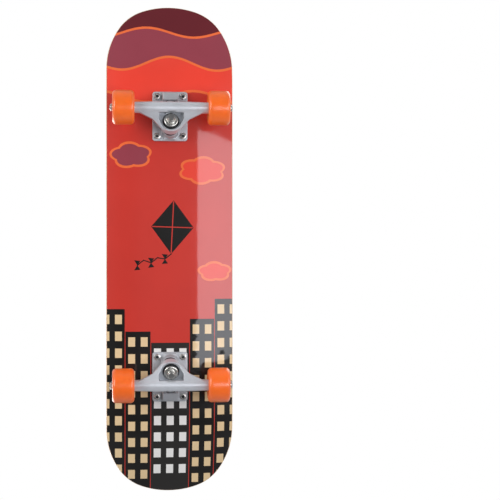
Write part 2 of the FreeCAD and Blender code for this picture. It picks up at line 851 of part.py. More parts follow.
def kingpin(name, truck):
    """Bolt with a hexagonal head held in the baseplate."""
    head = hexagon(name + "_head", "kingpin_head_flats", "kingpin_head_base", "kingpin_head_top")
    shoulder = "kingpin_chamfer - kingpin_tip"
    shank = cylinder(name + "_shank", "kingpin_radius", shoulder, "kingpin_head_top - overlap")
    tip = cone(
        name + "_tip",
        "kingpin_radius - kingpin_chamfer",
        "kingpin_radius",
        "- kingpin_tip",
        shoulder,
    )
    return finish(fuse(name, [head, shank, tip]), name, truck.multiply(kingpin_frame()))


def kingpin_nut(name, truck):
    bottom = "- road_washer_end - kingpin_nut_height"
    body = hexagon(name + "_hex", "kingpin_nut_flats", bottom, "- road_washer_end")
    bore = cylinder(name + "_bore", "kingpin_hole_radius", bottom, "- road_washer_end")
    return finish(cut(name, body, bore), name, truck.multiply(kingpin_frame()))


def turned_piece(name, frame, corners):
    body = new_body(name)
    revolve(body, name + "_turned", corners)
    body.Placement = frame
    return body


def board_bushing(name, truck):
    """Barrel bushing between the baseplate and the hanger ring."""
    return turned_piece(
        name,
        truck.multiply(kingpin_frame()),
        [
            ("bushing_bore", "ring_half"),
            ("bushing_foot_radius", "ring_half"),
            ("bushing_radius", "board_bushing_low"),
            ("bushing_radius", "board_bushing_high"),
            ("bushing_foot_radius", "board_bushing_top"),
            ("bushing_bore", "board_bushing_top"),
        ],
    )


def road_bushing(name, truck):
    """Tapered bushing between the hanger ring and the kingpin nut."""
    return turned_piece(
        name,
        truck.multiply(kingpin_frame()),
        [
            ("bushing_bore", "-ring_half"),
            ("bushing_foot_radius", "-ring_half"),
            ("bushing_radius", "-road_bushing_high"),
            ("bushing_waist", "-road_bushing_low"),
            ("bushing_top_radius", "-road_bushing_end"),
            ("bushing_bore", "-road_bushing_end"),
        ],
    )


def cup_washer(name, truck, inner, outer):
    """Pressed washer with its rim turned over the end of a bushing."""
    return turned_piece(
        name,
        truck.multiply(kingpin_frame()),
        [
            ("bushing_bore", inner),
            ("bushing_bore", outer),
            ("cup_washer_rim", outer),
            ("cup_washer_radius", outer),
            ("cup_washer_radius", inner),
        ],
    )


# ---------------------------------------------------------------- truck, steering pieces


def outline_block(name, rotation, corners, half):
    sketch = loose_sketch(name + "_outline", rotation)
    polygon(sketch, corners)
    return extrusion(name, sketch, half)


def hanger(name, truck):
    """Cast hanger: axle beam, triangular yoke, kingpin ring and pivot nose."""
    side_view = Rotation(Vector(1, 0, 0), QUARTER_TURN)
    end_view = Rotation(Vector(0, 1, 0), Vector(0, 0, 1), Vector(1, 0, 0), "ZXY")
    side = outline_block(
        name + "_side",
        side_view,
        [
            ("-yoke_toe_x", "-yoke_toe_low"),
            ("-yoke_toe_back", "-yoke_toe_high"),
            ("-yoke_back_x", "-yoke_back_z"),
            ("yoke_crown_x", "-yoke_crown_z"),
            ("yoke_face_x", "-yoke_face_high"),
            ("yoke_face_x", "-yoke_face_low"),
            ("yoke_foot_x", "-yoke_foot_z"),
            ("yoke_sole_x", "-yoke_sole_z"),
        ],
        "hanger_half",
    )
    plan = outline_block(
        name + "_plan",
        Rotation(),
        [
            ("plan_face_front", "plan_face_half"),
            ("plan_beam_front", "web_end_half"),
            ("plan_beam_back", "web_end_half"),
            ("-plan_web_back", "plan_web_half"),
            ("-plan_hip_back", "plan_hip_half"),
            ("-plan_flank_back", "plan_flank_half"),
            ("-plan_toe_back", "plan_toe_half"),
            ("-plan_toe_back", "-plan_toe_half"),
            ("-plan_flank_back", "-plan_flank_half"),
            ("-plan_hip_back", "-plan_hip_half"),
            ("-plan_web_back", "-plan_web_half"),
            ("plan_beam_back", "-web_end_half"),
            ("plan_beam_front", "-web_end_half"),
            ("plan_face_front", "-plan_face_half"),
        ],
        "hanger_half",
    )
    front = outline_block(
        name + "_front",
        end_view,
        [
            ("front_low_half", "-front_low"),
            ("web_end_half", "-front_end_low"),
            ("web_end_half", "-front_end_high"),
            ("front_hip_half", "-front_hip_high"),
            ("front_neck_half", "-front_neck_high"),
            ("front_crown_half", "-front_crown_high"),
            ("-front_crown_half", "-front_crown_high"),
            ("-front_neck_half", "-front_neck_high"),
            ("-front_hip_half", "-front_hip_high"),
            ("-web_end_half", "-front_end_high"),
            ("-web_end_half", "-front_end_low"),
            ("-front_low_half", "-front_low"),
        ],
        "hanger_half",
    )
    yoke = common(name + "_yoke", [side, plan, front])
    middle = cylinder(name + "_beam", "beam_mid_radius", "- beam_mid_half", "beam_mid_half")
    thick, thin = "beam_mid_radius", "beam_end_radius"
    left = cone(name + "_left_arm", thick, thin, "beam_mid_half", "hanger_half")
    right = cone(name + "_right_arm", thin, thick, "- hanger_half", "- beam_mid_half")
    for piece in (middle, left, right):
        placed(piece, axle_frame())
    ring = cylinder(name + "_ring", "ring_radius", "- ring_rim", "ring_half")
    placed(ring, kingpin_frame())
    nose = cone(name + "_nose", "pivot_nose_root", "pivot_ball_radius", "- pivot_nose_length", "0")
    knob = ball(name + "_knob", "pivot_ball_radius")
    for piece in (nose, knob):
        placed(piece, pivot_frame())
    casting = fuse(name + "_casting", [yoke, middle, left, right, ring, nose, knob])
    through = "ring_half + overlap"
    hole = cylinder(name + "_ring_hole", "ring_hole_radius", "- ring_half - overlap", through)
    well = cylinder(name + "_well", "bushing_well_radius", "- dish_level", "- ring_half")
    dish = cylinder(name + "_dish", "dish_radius", "- dish_level", "- recess_floor")
    nut_well = cylinder(name + "_nut_well", "nut_well_radius", "- nut_well_level", "- ring_half")
    top = "board_bushing_top + top_well_margin"
    top_well = cylinder(name + "_top_well", "top_well_radius", "ring_half", top)
    for tool in (hole, well, dish, nut_well, top_well):
        placed(tool, kingpin_frame())
    floor = outline_block(
        name + "_recess",
        Rotation(),
        [
            ("recess_front", "recess_half"),
            ("-recess_knee", "recess_half"),
            ("-recess_toe", "recess_toe_half"),
            ("-recess_toe", "-recess_toe_half"),
            ("-recess_knee", "-recess_half"),
            ("recess_front", "-recess_half"),
        ],
        "recess_clear",
    )
    below = DOC.addObject("Part::Box", name + "_below_ring")
    below.setExpression("Length", formula("2 * recess_clear"))
    below.setExpression("Width", formula("2 * recess_clear"))
    below.setExpression("Height", formula("recess_clear"))
    reach = size("recess_clear")
    below.Placement.Base = Vector(-reach, -reach, -reach - size("recess_floor"))
    placed(below, kingpin_frame())
    recess = common(name + "_recess_space", [floor, below])
    beyond = "hanger_half + overlap"
    bore = cylinder(name + "_axle_bore", "axle_bore_radius", "- hanger_half - overlap", beyond)
    placed(bore, axle_frame())
    hollows = fuse(name + "_hollows", [hole, well, dish, nut_well, top_well, recess, bore])
    return finish(cut(name, casting, hollows), name, truck)


def axle(name, truck):
    """Steel rod through the hanger with chamfered ends."""
    return turned_piece(
        name,
        truck.multiply(axle_frame()),
        [
            (None, "-axle_half"),
            ("axle_tip_radius", "-axle_half"),
            ("axle_radius", "-axle_shoulder"),
            ("axle_radius", "axle_shoulder"),
            ("axle_tip_radius", "axle_half"),
            (None, "axle_half"),
        ],
    )


def ring_piece(name, inner, outer, bottom, top):
    """Flat ring between two levels along its own axis."""
    body = cylinder(name + "_disc", outer, bottom, top)
    bore = cylinder(name + "_bore", inner, bottom, top)
    return cut(name, body, bore)


def axle_group(name, truck, make):
    """The same small pieces at both ends of one axle, in one node."""
    items = []
    for word, side in WHEEL_SIDES:
        for piece in make(f"{name}_{word}"):
            items.append(placed(piece, wheel_frame(side)))
    return finish(compound(name, items), name, truck)


def speed_washers(name):
    for word, start, end in (
        ("inner", "- bearing_end - speed_washer_thickness", "- bearing_end"),
        ("outer", "bearing_end", "bearing_end + speed_washer_thickness"),
    ):
        yield ring_piece(f"{name}_{word}", "axle_slip_radius", "speed_washer_radius", start, end)


def axle_nut(name):
    bottom = "bearing_end + speed_washer_thickness"
    top = "bearing_end + speed_washer_thickness + axle_nut_height"
    body = hexagon(name + "_hex", "axle_nut_flats", bottom, top)
    bore = cylinder(name + "_bore", "axle_slip_radius", bottom, top)
    yield cut(name, body, bore)


def race(name, inner, outer, groove_side):
    """Bearing race with the track that the balls run in."""
    blank = ring_piece(name + "_blank", inner, outer, "- bearing_width / 2", "bearing_width / 2")
    track = DOC.addObject("Part::Torus", f"{name}_{groove_side}_track")
    track.setExpression("Radius1", formula("bearing_pitch"))
    track.setExpression("Radius2", formula("groove_radius"))
    return cut(name, blank, track)


BEARINGS = (("inner", -1), ("outer", 1))


def at_bearing(item, side):
    middle = side * (size("bearing_start") + size("bearing_width") / 2)
    return placed(item, Placement(Vector(0, 0, middle), Rotation()))


def inner_races(name):
    for word, side in BEARINGS:
        ring = race(f"{name}_{word}", "axle_slip_radius", "bearing_inner_outer", "outside")
        yield at_bearing(ring, side)


def spacer(name):
    yield ring_piece(name, "axle_slip_radius", "spacer_radius", "- bearing_start", "bearing_start")


# ---------------------------------------------------------------- wheels


def wheel(name, frame):
    """Cast wheel with rounded shoulders, hollow faces and two bearing seats."""
    body = turned_piece(
        name,
        frame,
        [
            ("wheel_core_radius", "-bearing_start"),
            ("bearing_outer", "-bearing_start"),
            ("bearing_outer", "-wheel_mouth_floor"),
            ("wheel_mouth_radius", "-wheel_mouth_floor"),
            ("wheel_face_radius", "-wheel_half"),
            ("wheel_radius", "-wheel_half"),
            ("wheel_radius", "wheel_half"),
            ("wheel_face_radius", "wheel_half"),
            ("wheel_mouth_radius", "wheel_mouth_floor"),
            ("bearing_outer", "wheel_mouth_floor"),
            ("bearing_outer", "bearing_start"),
            ("wheel_core_radius", "bearing_start"),
        ],
    )
    DOC.recompute()
    radius = size("wheel_radius")

    def is_rim(edge):
        box = edge.BoundBox
        return abs(box.XMax - radius) < LINEAR_TOLERANCE and box.ZLength < LINEAR_TOLERANCE

    fillet(body, name + "_shoulders", "wheel_shoulder", is_rim)
    return body


def outer_races(name, frame):
    items = []
    for word, side in BEARINGS:
        ring = race(f"{name}_{word}", "bearing_outer_inner", "bearing_outer", "inside")
        items.append(at_bearing(ring, side))
    return finish(compound(name, items), name, frame)


def shields(name, frame):
    """Thin covers pressed into both faces of both outer races."""
    items = []
    for word, side in BEARINGS:
        for face, sign in (("road", 1), ("truck", -1)):
            outer = "bearing_width / 2 - shield_inset"
            inner = "bearing_width / 2 - shield_inset - shield_thickness"
            levels = (inner, outer) if sign > 0 else (f"- ( {outer} )", f"- ( {inner} )")
            cover = ring_piece(f"{name}_{word}_{face}", "shield_inner", "shield_outer", *levels)
            items.append(at_bearing(cover, side))
    return finish(compound(name, items), name, frame)


def bearing_balls(name, frame):
    items = []
    for word, side in BEARINGS:
        for count in range(BALL_COUNT):
            bead = ball(f"{name}_{word}_{count}", "ball_radius")
            turn = Rotation(UPWARDS, count * FULL_TURN / BALL_COUNT)
            place = turn.multVec(Vector(size("bearing_pitch"), 0, 0))
            items.append(at_bearing(placed(bead, Placement(place, turn)), side))
    return finish(compound(name, items), name, frame)


# ---------------------------------------------------------------- assembly


def truck_parts(word, end):
    frame = truck_frame(end)
    yield baseplate(f"{word}_baseplate", frame)
    yield pivot_cup(f"{word}_pivot_cup", frame)
    yield kingpin(f"{word}_kingpin", frame)
    yield kingpin_nut(f"{word}_kingpin_nut", frame)
    yield board_bushing(f"{word}_board_bushing", frame)
    yield road_bushing(f"{word}_road_bushing", frame)
    yield cup_washer(f"{word}_board_cup_washer", frame, "board_bushing_top", "board_washer_end")
    yield cup_washer(f"{word}_road_cup_washer", frame, "-road_bushing_end", "-road_washer_end")
    bolts = compound(f"{word}_deck_bolts", at_bolts(f"{word}_bolt", deck_bolt))
    yield finish(bolts, f"{word}_deck_bolts", frame)
    nuts = compound(f"{word}_deck_nuts", at_bolts(f"{word}_nut", deck_nut))
    yield finish(nuts, f"{word}_deck_nuts", frame)
    yield hanger(f"{word}_hanger", frame)
    yield axle(f"{word}_axle", frame)
    yield axle_group(f"{word}_speed_washers", frame, speed_washers)
    yield axle_group(f"{word}_axle_nuts", frame, axle_nut)
    yield axle_group(f"{word}_inner_races", frame, inner_races)
    yield axle_group(f"{word}_bearing_spacers", frame, spacer)


def wheel_parts(word, end):
    for hand, side in WHEEL_SIDES:
        frame = truck_frame(end).multiply(wheel_frame(side * end))
        yield wheel(f"{word}_{hand}_wheel", frame)
        yield outer_races(f"{word}_{hand}_outer_races", frame)
        yield shields(f"{word}_{hand}_bearing_shields", frame)
        yield bearing_balls(f"{word}_{hand}_bearing_balls", frame)


def check(nodes):
    """Stops before anything is written if any object failed or any shape is unsound."""
    failed = [item.Label for item in DOC.Objects if {"Invalid", "Error"} & set(item.State)]
    if failed:
        raise RuntimeError(f"did not recompute: {failed}")
    for node in nodes:
        if node.Shape.isNull() or not node.Shape.isValid():
            raise RuntimeError(f"{node.Label} has no sound shape")


def build():
    fill_sheet()
    nodes = [deck(), grip_tape()]
    for word, end in (("front", 1), ("rear", -1)):
        nodes += truck_parts(word, end)
        nodes += wheel_parts(word, end)
    DOC.recompute()
    check(nodes)
    os.makedirs("parts", exist_ok=True)
    for node in nodes:
        node.Shape.exportStep(f"parts/{node.Label}.step")
        print(f"{node.Label}: {node.Shape.Volume:.1f} mm3, {len(node.Shape.Solids)} solid(s)")


build()
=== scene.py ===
import math

import bmesh
import bpy
import numpy as np
from mathutils import Matrix, Vector
from mathutils.geometry import delaunay_2d_cdt


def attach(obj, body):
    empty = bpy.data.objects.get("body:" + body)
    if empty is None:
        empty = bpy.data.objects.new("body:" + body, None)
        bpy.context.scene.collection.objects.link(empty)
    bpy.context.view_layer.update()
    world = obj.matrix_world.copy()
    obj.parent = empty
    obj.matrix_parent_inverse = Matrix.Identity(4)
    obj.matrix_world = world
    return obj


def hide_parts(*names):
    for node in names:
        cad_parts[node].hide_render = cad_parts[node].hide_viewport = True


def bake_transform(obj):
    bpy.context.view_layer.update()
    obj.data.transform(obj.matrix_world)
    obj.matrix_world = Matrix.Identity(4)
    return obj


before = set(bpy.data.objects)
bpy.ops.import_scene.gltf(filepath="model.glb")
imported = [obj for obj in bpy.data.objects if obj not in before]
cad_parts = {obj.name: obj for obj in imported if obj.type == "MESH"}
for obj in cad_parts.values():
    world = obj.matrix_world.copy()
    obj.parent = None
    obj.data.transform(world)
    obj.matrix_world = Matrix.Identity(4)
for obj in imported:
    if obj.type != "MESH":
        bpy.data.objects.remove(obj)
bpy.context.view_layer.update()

MM = 0.001

# Lengths are in millimetres in the part's frame until they are handed to Blender.
DECK_HEIGHT = 80.0
DECK_THICKNESS = 11.0
GRIP_TOP = 11.8
HALF_LENGTH = 393.5
HALF_WIDTH = 101.6
FLAT_HALF = 46.0
CONCAVE_RADIUS = 197.0
KICK_START = 258.0
KICK_RADIUS = 130.0
KICK_ANGLE = math.radians(19.0)
TIP_RADIUS = 130.0
TIP_SWEEP = math.radians(20.0)
SHOULDER_RADIUS = 76.0
SHOULDER_SWEEP = math.radians(56.0)
GRIP_INSET = 1.7
DECK_INSET = 0.25
EDGE_ROUND = 2.6
PLY_COUNT = 7
BOARD_MERGE = 2e-6
DECK_HOLE_RADIUS = 4.95
GRIP_HOLE_RADIUS = 5.0
SINK_DEPTH = 2.5
SINK_RATIO = 0.52
GRIP_BED = 0.02
FILM_INSET = 1.2
FILM_LEVEL = -0.12
BADGE_LIFT = 0.06

TRUCK_X = {1: 211.75, -1: 204.0}
BOLT_X = 31.75
BOLT_Y = 20.65
RING = (-14.3, 0.0, -35.0)
KINGPIN_TILT = math.radians(-18.0)
AXLE = (9.0, 0.0, -53.0)
WHEEL_CENTRE = 74.5
WHEEL_HALF = 17.2
WHEEL_RADIUS = 26.97
WHEEL_EDGE = 6.0
SEAT_RADIUS = 11.02
KINGPIN_RADIUS = 4.75
KINGPIN_FLATS = 14.3
BUSHING_BORE = 5.05
AXLE_RADIUS = 4.0
AXLE_END = 95.9
BOLT_RADIUS = 2.4
BOLT_HEAD_RADIUS = 4.75
ENDS = (("front", 1), ("rear", -1))
HANDS = (("left", 1), ("right", -1))


# ---------------------------------------------------------------- materials


def srgb(red, green, blue):
    """Linear colour of an 8-bit display colour."""
    def linear(value):
        value = value / 255.0
        return value / 12.92 if value <= 0.04045 else ((value + 0.055) / 1.055) ** 2.4

    return (linear(red), linear(green), linear(blue), 1.0)


class Nodes:
    """Short hand for building one node material."""

    def __init__(self, name):
        self.material = bpy.data.materials.new(name)
        self.material.use_nodes = True
        self.tree = self.material.node_tree
        self.shader = self.tree.nodes["Principled BSDF"]
        self.coords = self.add("ShaderNodeTexCoord").outputs["Object"]

    def add(self, kind, **settings):
        node = self.tree.nodes.new(kind)
        for key, value in settings.items():
            setattr(node, key, value)
        return node

    def link(self, output, socket):
        self.tree.links.new(output, socket)

    def scaled(self, scale):
        mapping = self.add("ShaderNodeMapping")
        mapping.inputs["Scale"].default_value = scale
        self.link(self.coords, mapping.inputs["Vector"])
        return mapping.outputs["Vector"]

    def noise(self, scale, detail=4.0, roughness=0.55, stretch=(1, 1, 1)):
        node = self.add("ShaderNodeTexNoise")
        node.inputs["Scale"].default_value = scale
        node.inputs["Detail"].default_value = detail
        node.inputs["Roughness"].default_value = roughness
        self.link(self.scaled(stretch), node.inputs["Vector"])
        return node.outputs["Fac"]

    def ramp(self, factor, *stops):
        node = self.add("ShaderNodeValToRGB")
        ramp = node.color_ramp
        while len(ramp.elements) < len(stops):
            ramp.elements.new(0.5)
        for element, (place, colour) in zip(ramp.elements, stops):
            element.position = place
            element.color = colour
        self.link(factor, node.inputs["Fac"])
        return node.outputs["Color"]

    def level(self, factor, low, high):
        node = self.add("ShaderNodeMapRange")
        node.inputs["To Min"].default_value = low
        node.inputs["To Max"].default_value = high
        self.link(factor, node.inputs["Value"])
        return node.outputs["Result"]

    def bump(self, height, strength, distance, below=None):
        node = self.add("ShaderNodeBump")
        node.inputs["Strength"].default_value = strength
        node.inputs["Distance"].default_value = distance
        self.link(height, node.inputs["Height"])
        if below is not None:
            self.link(below, node.inputs["Normal"])
        return node.outputs["Normal"]

    def set(self, **values):
        for name, value in values.items():
            socket = self.shader.inputs[name.replace("_", " ")]
            if isinstance(value, bpy.types.NodeSocket):
                self.link(value, socket)
            else:
                socket.default_value = value


def shade(colour, factor):
    return tuple(channel * factor for channel in colour[:3]) + (1.0,)


def print_ink(name, colour, spread=0.05):
    """Screen-printed ink under clear lacquer, with faint unevenness and fine scuffs."""
    made = Nodes(name)
    patch = made.noise(9.0, 5.0)
    made.set(
        Base_Color=made.ramp(patch, (0.3, shade(colour, 1 - spread)), (0.7, shade(colour, 1 + spread))),
        Roughness=made.level(made.noise(60.0, 6.0, stretch=(0.3, 1, 1)), 0.34, 0.46),
        Specular_IOR_Level=0.12,
        Coat_Weight=0.75,
        Coat_Roughness=0.04,
        Normal=made.bump(made.noise(900.0, 2.0, stretch=(0.1, 1, 1)), 0.04, 0.00005),
    )
    return made.material


def wood(name, light, dark, grain):
    """Maple ply: fine fibres along the board and darker pores."""
    made = Nodes(name)
    fibres = made.noise(420.0, 8.0, 0.65, stretch=(0.04, 1.0, grain))
    made.set(
        Base_Color=made.ramp(fibres, (0.32, dark), (0.62, light)),
        Roughness=made.level(made.noise(90.0), 0.38, 0.55),
        Coat_Weight=0.25,
        Coat_Roughness=0.2,
        Normal=made.bump(fibres, 0.12, 0.0002),
    )
    return made.material


def grit(name):
    """Silicon-carbide grit: black grains that stand up, with painted glints on a few facets."""
    made = Nodes(name)
    grains = made.add("ShaderNodeTexVoronoi")
    grains.inputs["Scale"].default_value = 1500.0
    made.link(made.coords, grains.inputs["Vector"])
    facets = made.add("ShaderNodeTexVoronoi")
    facets.inputs["Scale"].default_value = 820.0
    made.link(made.coords, facets.inputs["Vector"])
    # painted glint: the base colour is lighter at the middle of each facet, standing in for light caught by
    # the grains
    painted_glint = made.ramp(facets.outputs["Distance"], (0.0, srgb(88, 90, 96)), (0.16, srgb(27, 29, 33)))
    worn = made.ramp(made.noise(14.0, 6.0), (0.3, (0.75, 0.75, 0.78, 1)), (0.7, (1.15, 1.15, 1.15, 1)))
    mixed = made.add("ShaderNodeMix", data_type="RGBA", blend_type="MULTIPLY")
    mixed.inputs["Factor"].default_value = 0.6
    made.link(painted_glint, mixed.inputs[6])
    made.link(worn, mixed.inputs[7])
    made.set(
        Base_Color=mixed.outputs[2],
        Roughness=made.level(facets.outputs["Distance"], 0.55, 0.95),
        Specular_IOR_Level=0.5,
        Normal=made.bump(grains.outputs["Distance"], 0.8, 0.0006),
    )
    return made.material


def badge_ink(name, colour):
    """Ink printed over the grit, so the grains still show through."""
    made = Nodes(name)
    grains = made.add("ShaderNodeTexVoronoi")
    grains.inputs["Scale"].default_value = 1500.0
    made.link(made.coords, grains.inputs["Vector"])
    grain = grains.outputs["Distance"]
    made.set(
        Base_Color=made.ramp(grain, (0.0, shade(colour, 1.08)), (0.85, shade(colour, 0.62))),
        Roughness=made.level(made.noise(300.0), 0.6, 0.85),
        Normal=made.bump(grain, 0.6, 0.0005),
    )
    return made.material


def cast_metal(name, colour, low, high, bump=0.25, metallic=0.9):
    """Tumbled casting: soft cloudy sheen with a fine orange-peel skin."""
    made = Nodes(name)
    cloud = made.noise(28.0, 6.0)
    skin = made.noise(1300.0, 3.0)
    made.set(
        Base_Color=made.ramp(cloud, (0.3, shade(colour, 0.88)), (0.7, shade(colour, 1.06))),
        Metallic=metallic,
        Roughness=made.level(made.noise(170.0, 5.0), low, high),
        Normal=made.bump(skin, bump, 0.00012),
    )
    return made.material


def turned_steel(name, colour, low, high, metallic=1.0):
    """Machined or plated steel with fine tool marks and faint blotches."""
    made = Nodes(name)
    marks = made.noise(2400.0, 2.0, stretch=(1, 0.15, 1))
    patch = made.noise(120.0, 5.0)
    made.set(
        Base_Color=made.ramp(patch, (0.3, shade(colour, 0.82)), (0.7, shade(colour, 1.05))),
        Metallic=metallic,
        Roughness=made.level(made.noise(260.0, 4.0), low, high),
        Normal=made.bump(marks, 0.15, 0.00006),
    )
    return made.material


def urethane(name, colour):
    """Cast urethane: slightly translucent, with faint road dust."""
    made = Nodes(name)
    patch = made.noise(45.0, 5.0)
    made.set(
        Base_Color=made.ramp(patch, (0.25, shade(colour, 0.93)), (0.75, shade(colour, 1.05))),
        Roughness=made.level(made.noise(150.0, 6.0), 0.26, 0.42),
        Subsurface_Weight=0.12,
        Subsurface_Radius=(0.004, 0.0015, 0.0006),
        Subsurface_Scale=1.0,
        Coat_Weight=0.3,
        Coat_Roughness=0.12,
        Normal=made.bump(made.noise(700.0, 3.0), 0.08, 0.0001),
    )
    return made.material


def moulded(name, colour, low=0.4, high=0.6):
    """Moulded rubber or plastic with a fine matt skin."""
    made = Nodes(name)
    made.set(
        Base_Color=made.ramp(made.noise(90.0, 4.0), (0.3, shade(colour, 0.75)), (0.7, shade(colour, 1.3))),
        Roughness=made.level(made.noise(400.0, 4.0), low, high),
        Normal=made.bump(made.noise(1500.0, 2.0), 0.15, 0.0001),
    )
    return made.material


INKS = {
    "sky_red": srgb(196, 54, 44),
    "dusk_maroon": srgb(144, 60, 72),
    "deep_maroon": srgb(98, 28, 36),
    "cloud_coral": srgb(228, 66, 50),
    "cloud_rim": srgb(232, 106, 56),
    "night_black": srgb(22, 20, 18),
    "street_grey": srgb(38, 36, 34),
    "window_cream": srgb(222, 194, 150),
    "window_white": srgb(228, 226, 222),
}
INK_MATERIALS = {name: print_ink(name, colour) for name, colour in INKS.items()}
PLY_LIGHT = wood("ply_maple", srgb(222, 184, 140), srgb(186, 140, 98), 1.0)
PLY_DARK = wood("ply_stained", srgb(206, 108, 62), srgb(168, 78, 44), 0.6)
GRIT = grit("grip_grit")
BADGE = badge_ink("badge_orange", srgb(238, 118, 44))
BADGE_MARK = badge_ink("badge_black", srgb(30, 30, 32))
ALLOY = cast_metal("cast_alloy", srgb(206, 209, 214), 0.36, 0.5, metallic=0.4)
PLATE_ALLOY = cast_metal("plate_alloy", srgb(182, 184, 188), 0.38, 0.54, metallic=0.4)
STEEL = turned_steel("steel", srgb(176, 174, 172), 0.26, 0.4)
ZINC = turned_steel("zinc_plate", srgb(214, 212, 206), 0.2, 0.34)
DARK_STEEL = turned_steel("black_oxide", srgb(40, 40, 42), 0.34, 0.5, 0.6)
URETHANE = urethane("urethane_orange", srgb(244, 106, 26))
RUBBER = moulded("bushing_black", srgb(26, 26, 28), 0.35, 0.5)
NYLON = moulded("nylon_grey", srgb(206, 204, 198), 0.3, 0.45)
SEAL = moulded("seal_black", srgb(30, 30, 32), 0.4, 0.55)
CUP_PLASTIC = moulded("cup_black", srgb(34, 34, 36), 0.4, 0.6)


# ---------------------------------------------------------------- mesh tools


def add_object(name, vertices, faces, materials, indices=None, smooth=True):
    """Mesh object from millimetre vertices, with one material index to a face."""
    mesh = bpy.data.meshes.new(name)
    mesh.from_pydata([tuple(c * MM for c in v) for v in vertices], [], faces)
    for material in materials:
        mesh.materials.append(material)
    if indices is not None:
        mesh.polygons.foreach_set("material_index", np.asarray(indices, dtype=np.int32))
    mesh.polygons.foreach_set("use_smooth", [smooth] * len(mesh.polygons))
    mesh.validate()
    mesh.update()
    item = bpy.data.objects.new(name, mesh)
    bpy.context.scene.collection.objects.link(item)
    return item


def merge(item, distance):
    """Joins vertices that lie closer together than a distance in metres."""
    edited = bmesh.new()
    edited.from_mesh(item.data)
    bmesh.ops.remove_doubles(edited, verts=edited.verts, dist=distance)
    edited.to_mesh(item.data)
    edited.free()


def sharpen(item, degrees):
    """Keeps edges steeper than the angle crisp and the rest smooth."""
    edited = bmesh.new()
    edited.from_mesh(item.data)
    bmesh.ops.recalc_face_normals(edited, faces=edited.faces)
    limit = math.radians(degrees)
    for edge in edited.edges:
        edge.smooth = not (len(edge.link_faces) == 2 and edge.calc_face_angle(0.0) > limit)
    edited.to_mesh(item.data)
    edited.free()


def lathe_data(profile, segments):
    """Vertices and faces of a closed profile of (radius, height) turned about z."""
    vertices, faces = [], []
    count = len(profile)
    for step in range(segments):
        angle = math.tau * step / segments
        for radius, height in profile:
            vertices.append((radius * math.cos(angle), radius * math.sin(angle), height))
    for step in range(segments):
        here, there = step * count, ((step + 1) % segments) * count
        for k in range(count):
            follower = (k + 1) % count
            faces.append((here + k, there + k, there + follower, here + follower))
    return vertices, faces


def nut_data(flats, bottom, top, bore):
    """Hexagonal nut: conical chamfers meet the flats in shallow arcs."""
    vertices, faces = [], []
    segments = 72
    side_angle = math.tau / 6
    inner = flats / 2 * 0.98
    slope = math.tan(math.radians(28.0))
    bevel = 0.25
    for step in range(segments):
        angle = math.tau * step / segments
        offset = (angle + side_angle / 2) % side_angle - side_angle / 2
        reach = flats / 2 / math.cos(offset)
        fall = (reach - inner) * slope
        ring = [(bore, bottom), (inner, bottom), (reach, bottom + fall), (reach, top - fall), (inner, top)]
        ring += [(bore + bevel, top), (bore, top - bevel)]
        for radius, height in ring:
            vertices.append((radius * math.cos(angle), radius * math.sin(angle), height))
    count = len(ring)
    for step in range(segments):
        here, there = step * count, ((step + 1) % segments) * count
        for k in range(count):
            follower = (k + 1) % count
            faces.append((here + k, there + k, there + follower, here + follower))
    return vertices, faces


def thread_profile(radius, bottom, top, pitch, depth):
    """Outside of a threaded end, as rings of crests and roots up to a chamfered tip."""
    profile = []
    height = bottom
    chamfer = 0.6
    while height + pitch < top - chamfer:
        profile += [(radius, height + pitch * 0.2), (radius - depth, height + pitch * 0.6)]
        height += pitch
    return profile + [(radius, top - chamfer), (radius - chamfer, top), (0.0, top)]


def join_data(parts):
    """Joins (vertices, faces, matrix, material index) parts into one mesh's data."""
    vertices, faces, indices = [], [], []
    for part_vertices, part_faces, matrix, index in parts:
        start = len(vertices)
        vertices += [tuple(matrix @ Vector(vertex)) for vertex in part_vertices]
        faces += [tuple(start + k for k in face) for face in part_faces]
        indices += [index] * len(part_faces)
    return vertices, faces, indices


def piece(name, parts, materials, body, nodes, degrees=35.0):
    """A finished visual piece: joined parts, riding on a body, in place of CAD nodes."""
    vertices, faces, indices = join_data(parts)
    item = add_object(name, vertices, faces, materials, indices)
    merge(item, 1e-7)
    sharpen(item, degrees)
    settle(item, body, nodes)
    return item


def settle(item, body, nodes):
    """Puts a piece on its body and in place of its CAD nodes, where it has them."""
    if body:
        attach(item, body)
    if nodes:
        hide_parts(*nodes)


# ---------------------------------------------------------------- frames


def truck_frame(end):
    """Middle of a truck's bolt pattern, with x towards that end of the board."""
    turn = Matrix.Rotation(0.0 if end > 0 else math.pi, 4, "Z")
    return Matrix.Translation((end * TRUCK_X[end], 0, DECK_HEIGHT)) @ turn


def kingpin_frame(end):
    """Middle of the hanger's ring, with z up along the kingpin."""
    return truck_frame(end) @ Matrix.Translation(RING) @ Matrix.Rotation(KINGPIN_TILT, 4, "Y")


def axle_frame(end):
    """Middle of the axle, with z along it."""
    return truck_frame(end) @ Matrix.Translation(AXLE) @ Matrix.Rotation(-math.pi / 2, 4, "X")


def wheel_frame(end, side):
    """z points outwards along the axle; side is 1 on the board's left."""
    hand = side * end
    centre = axle_frame(end) @ Matrix.Translation((0, 0, hand * WHEEL_CENTRE))
    return centre if hand > 0 else centre @ Matrix.Rotation(math.pi, 4, "X")


# ---------------------------------------------------------------- board surface


def rise(y, level):
    """Lift of the concave at a distance from the centre line."""
    reach = np.maximum(np.abs(y) - FLAT_HALF, 0.0)
    radius = CONCAVE_RADIUS - level
    return CONCAVE_RADIUS - np.sqrt(radius**2 - reach**2)


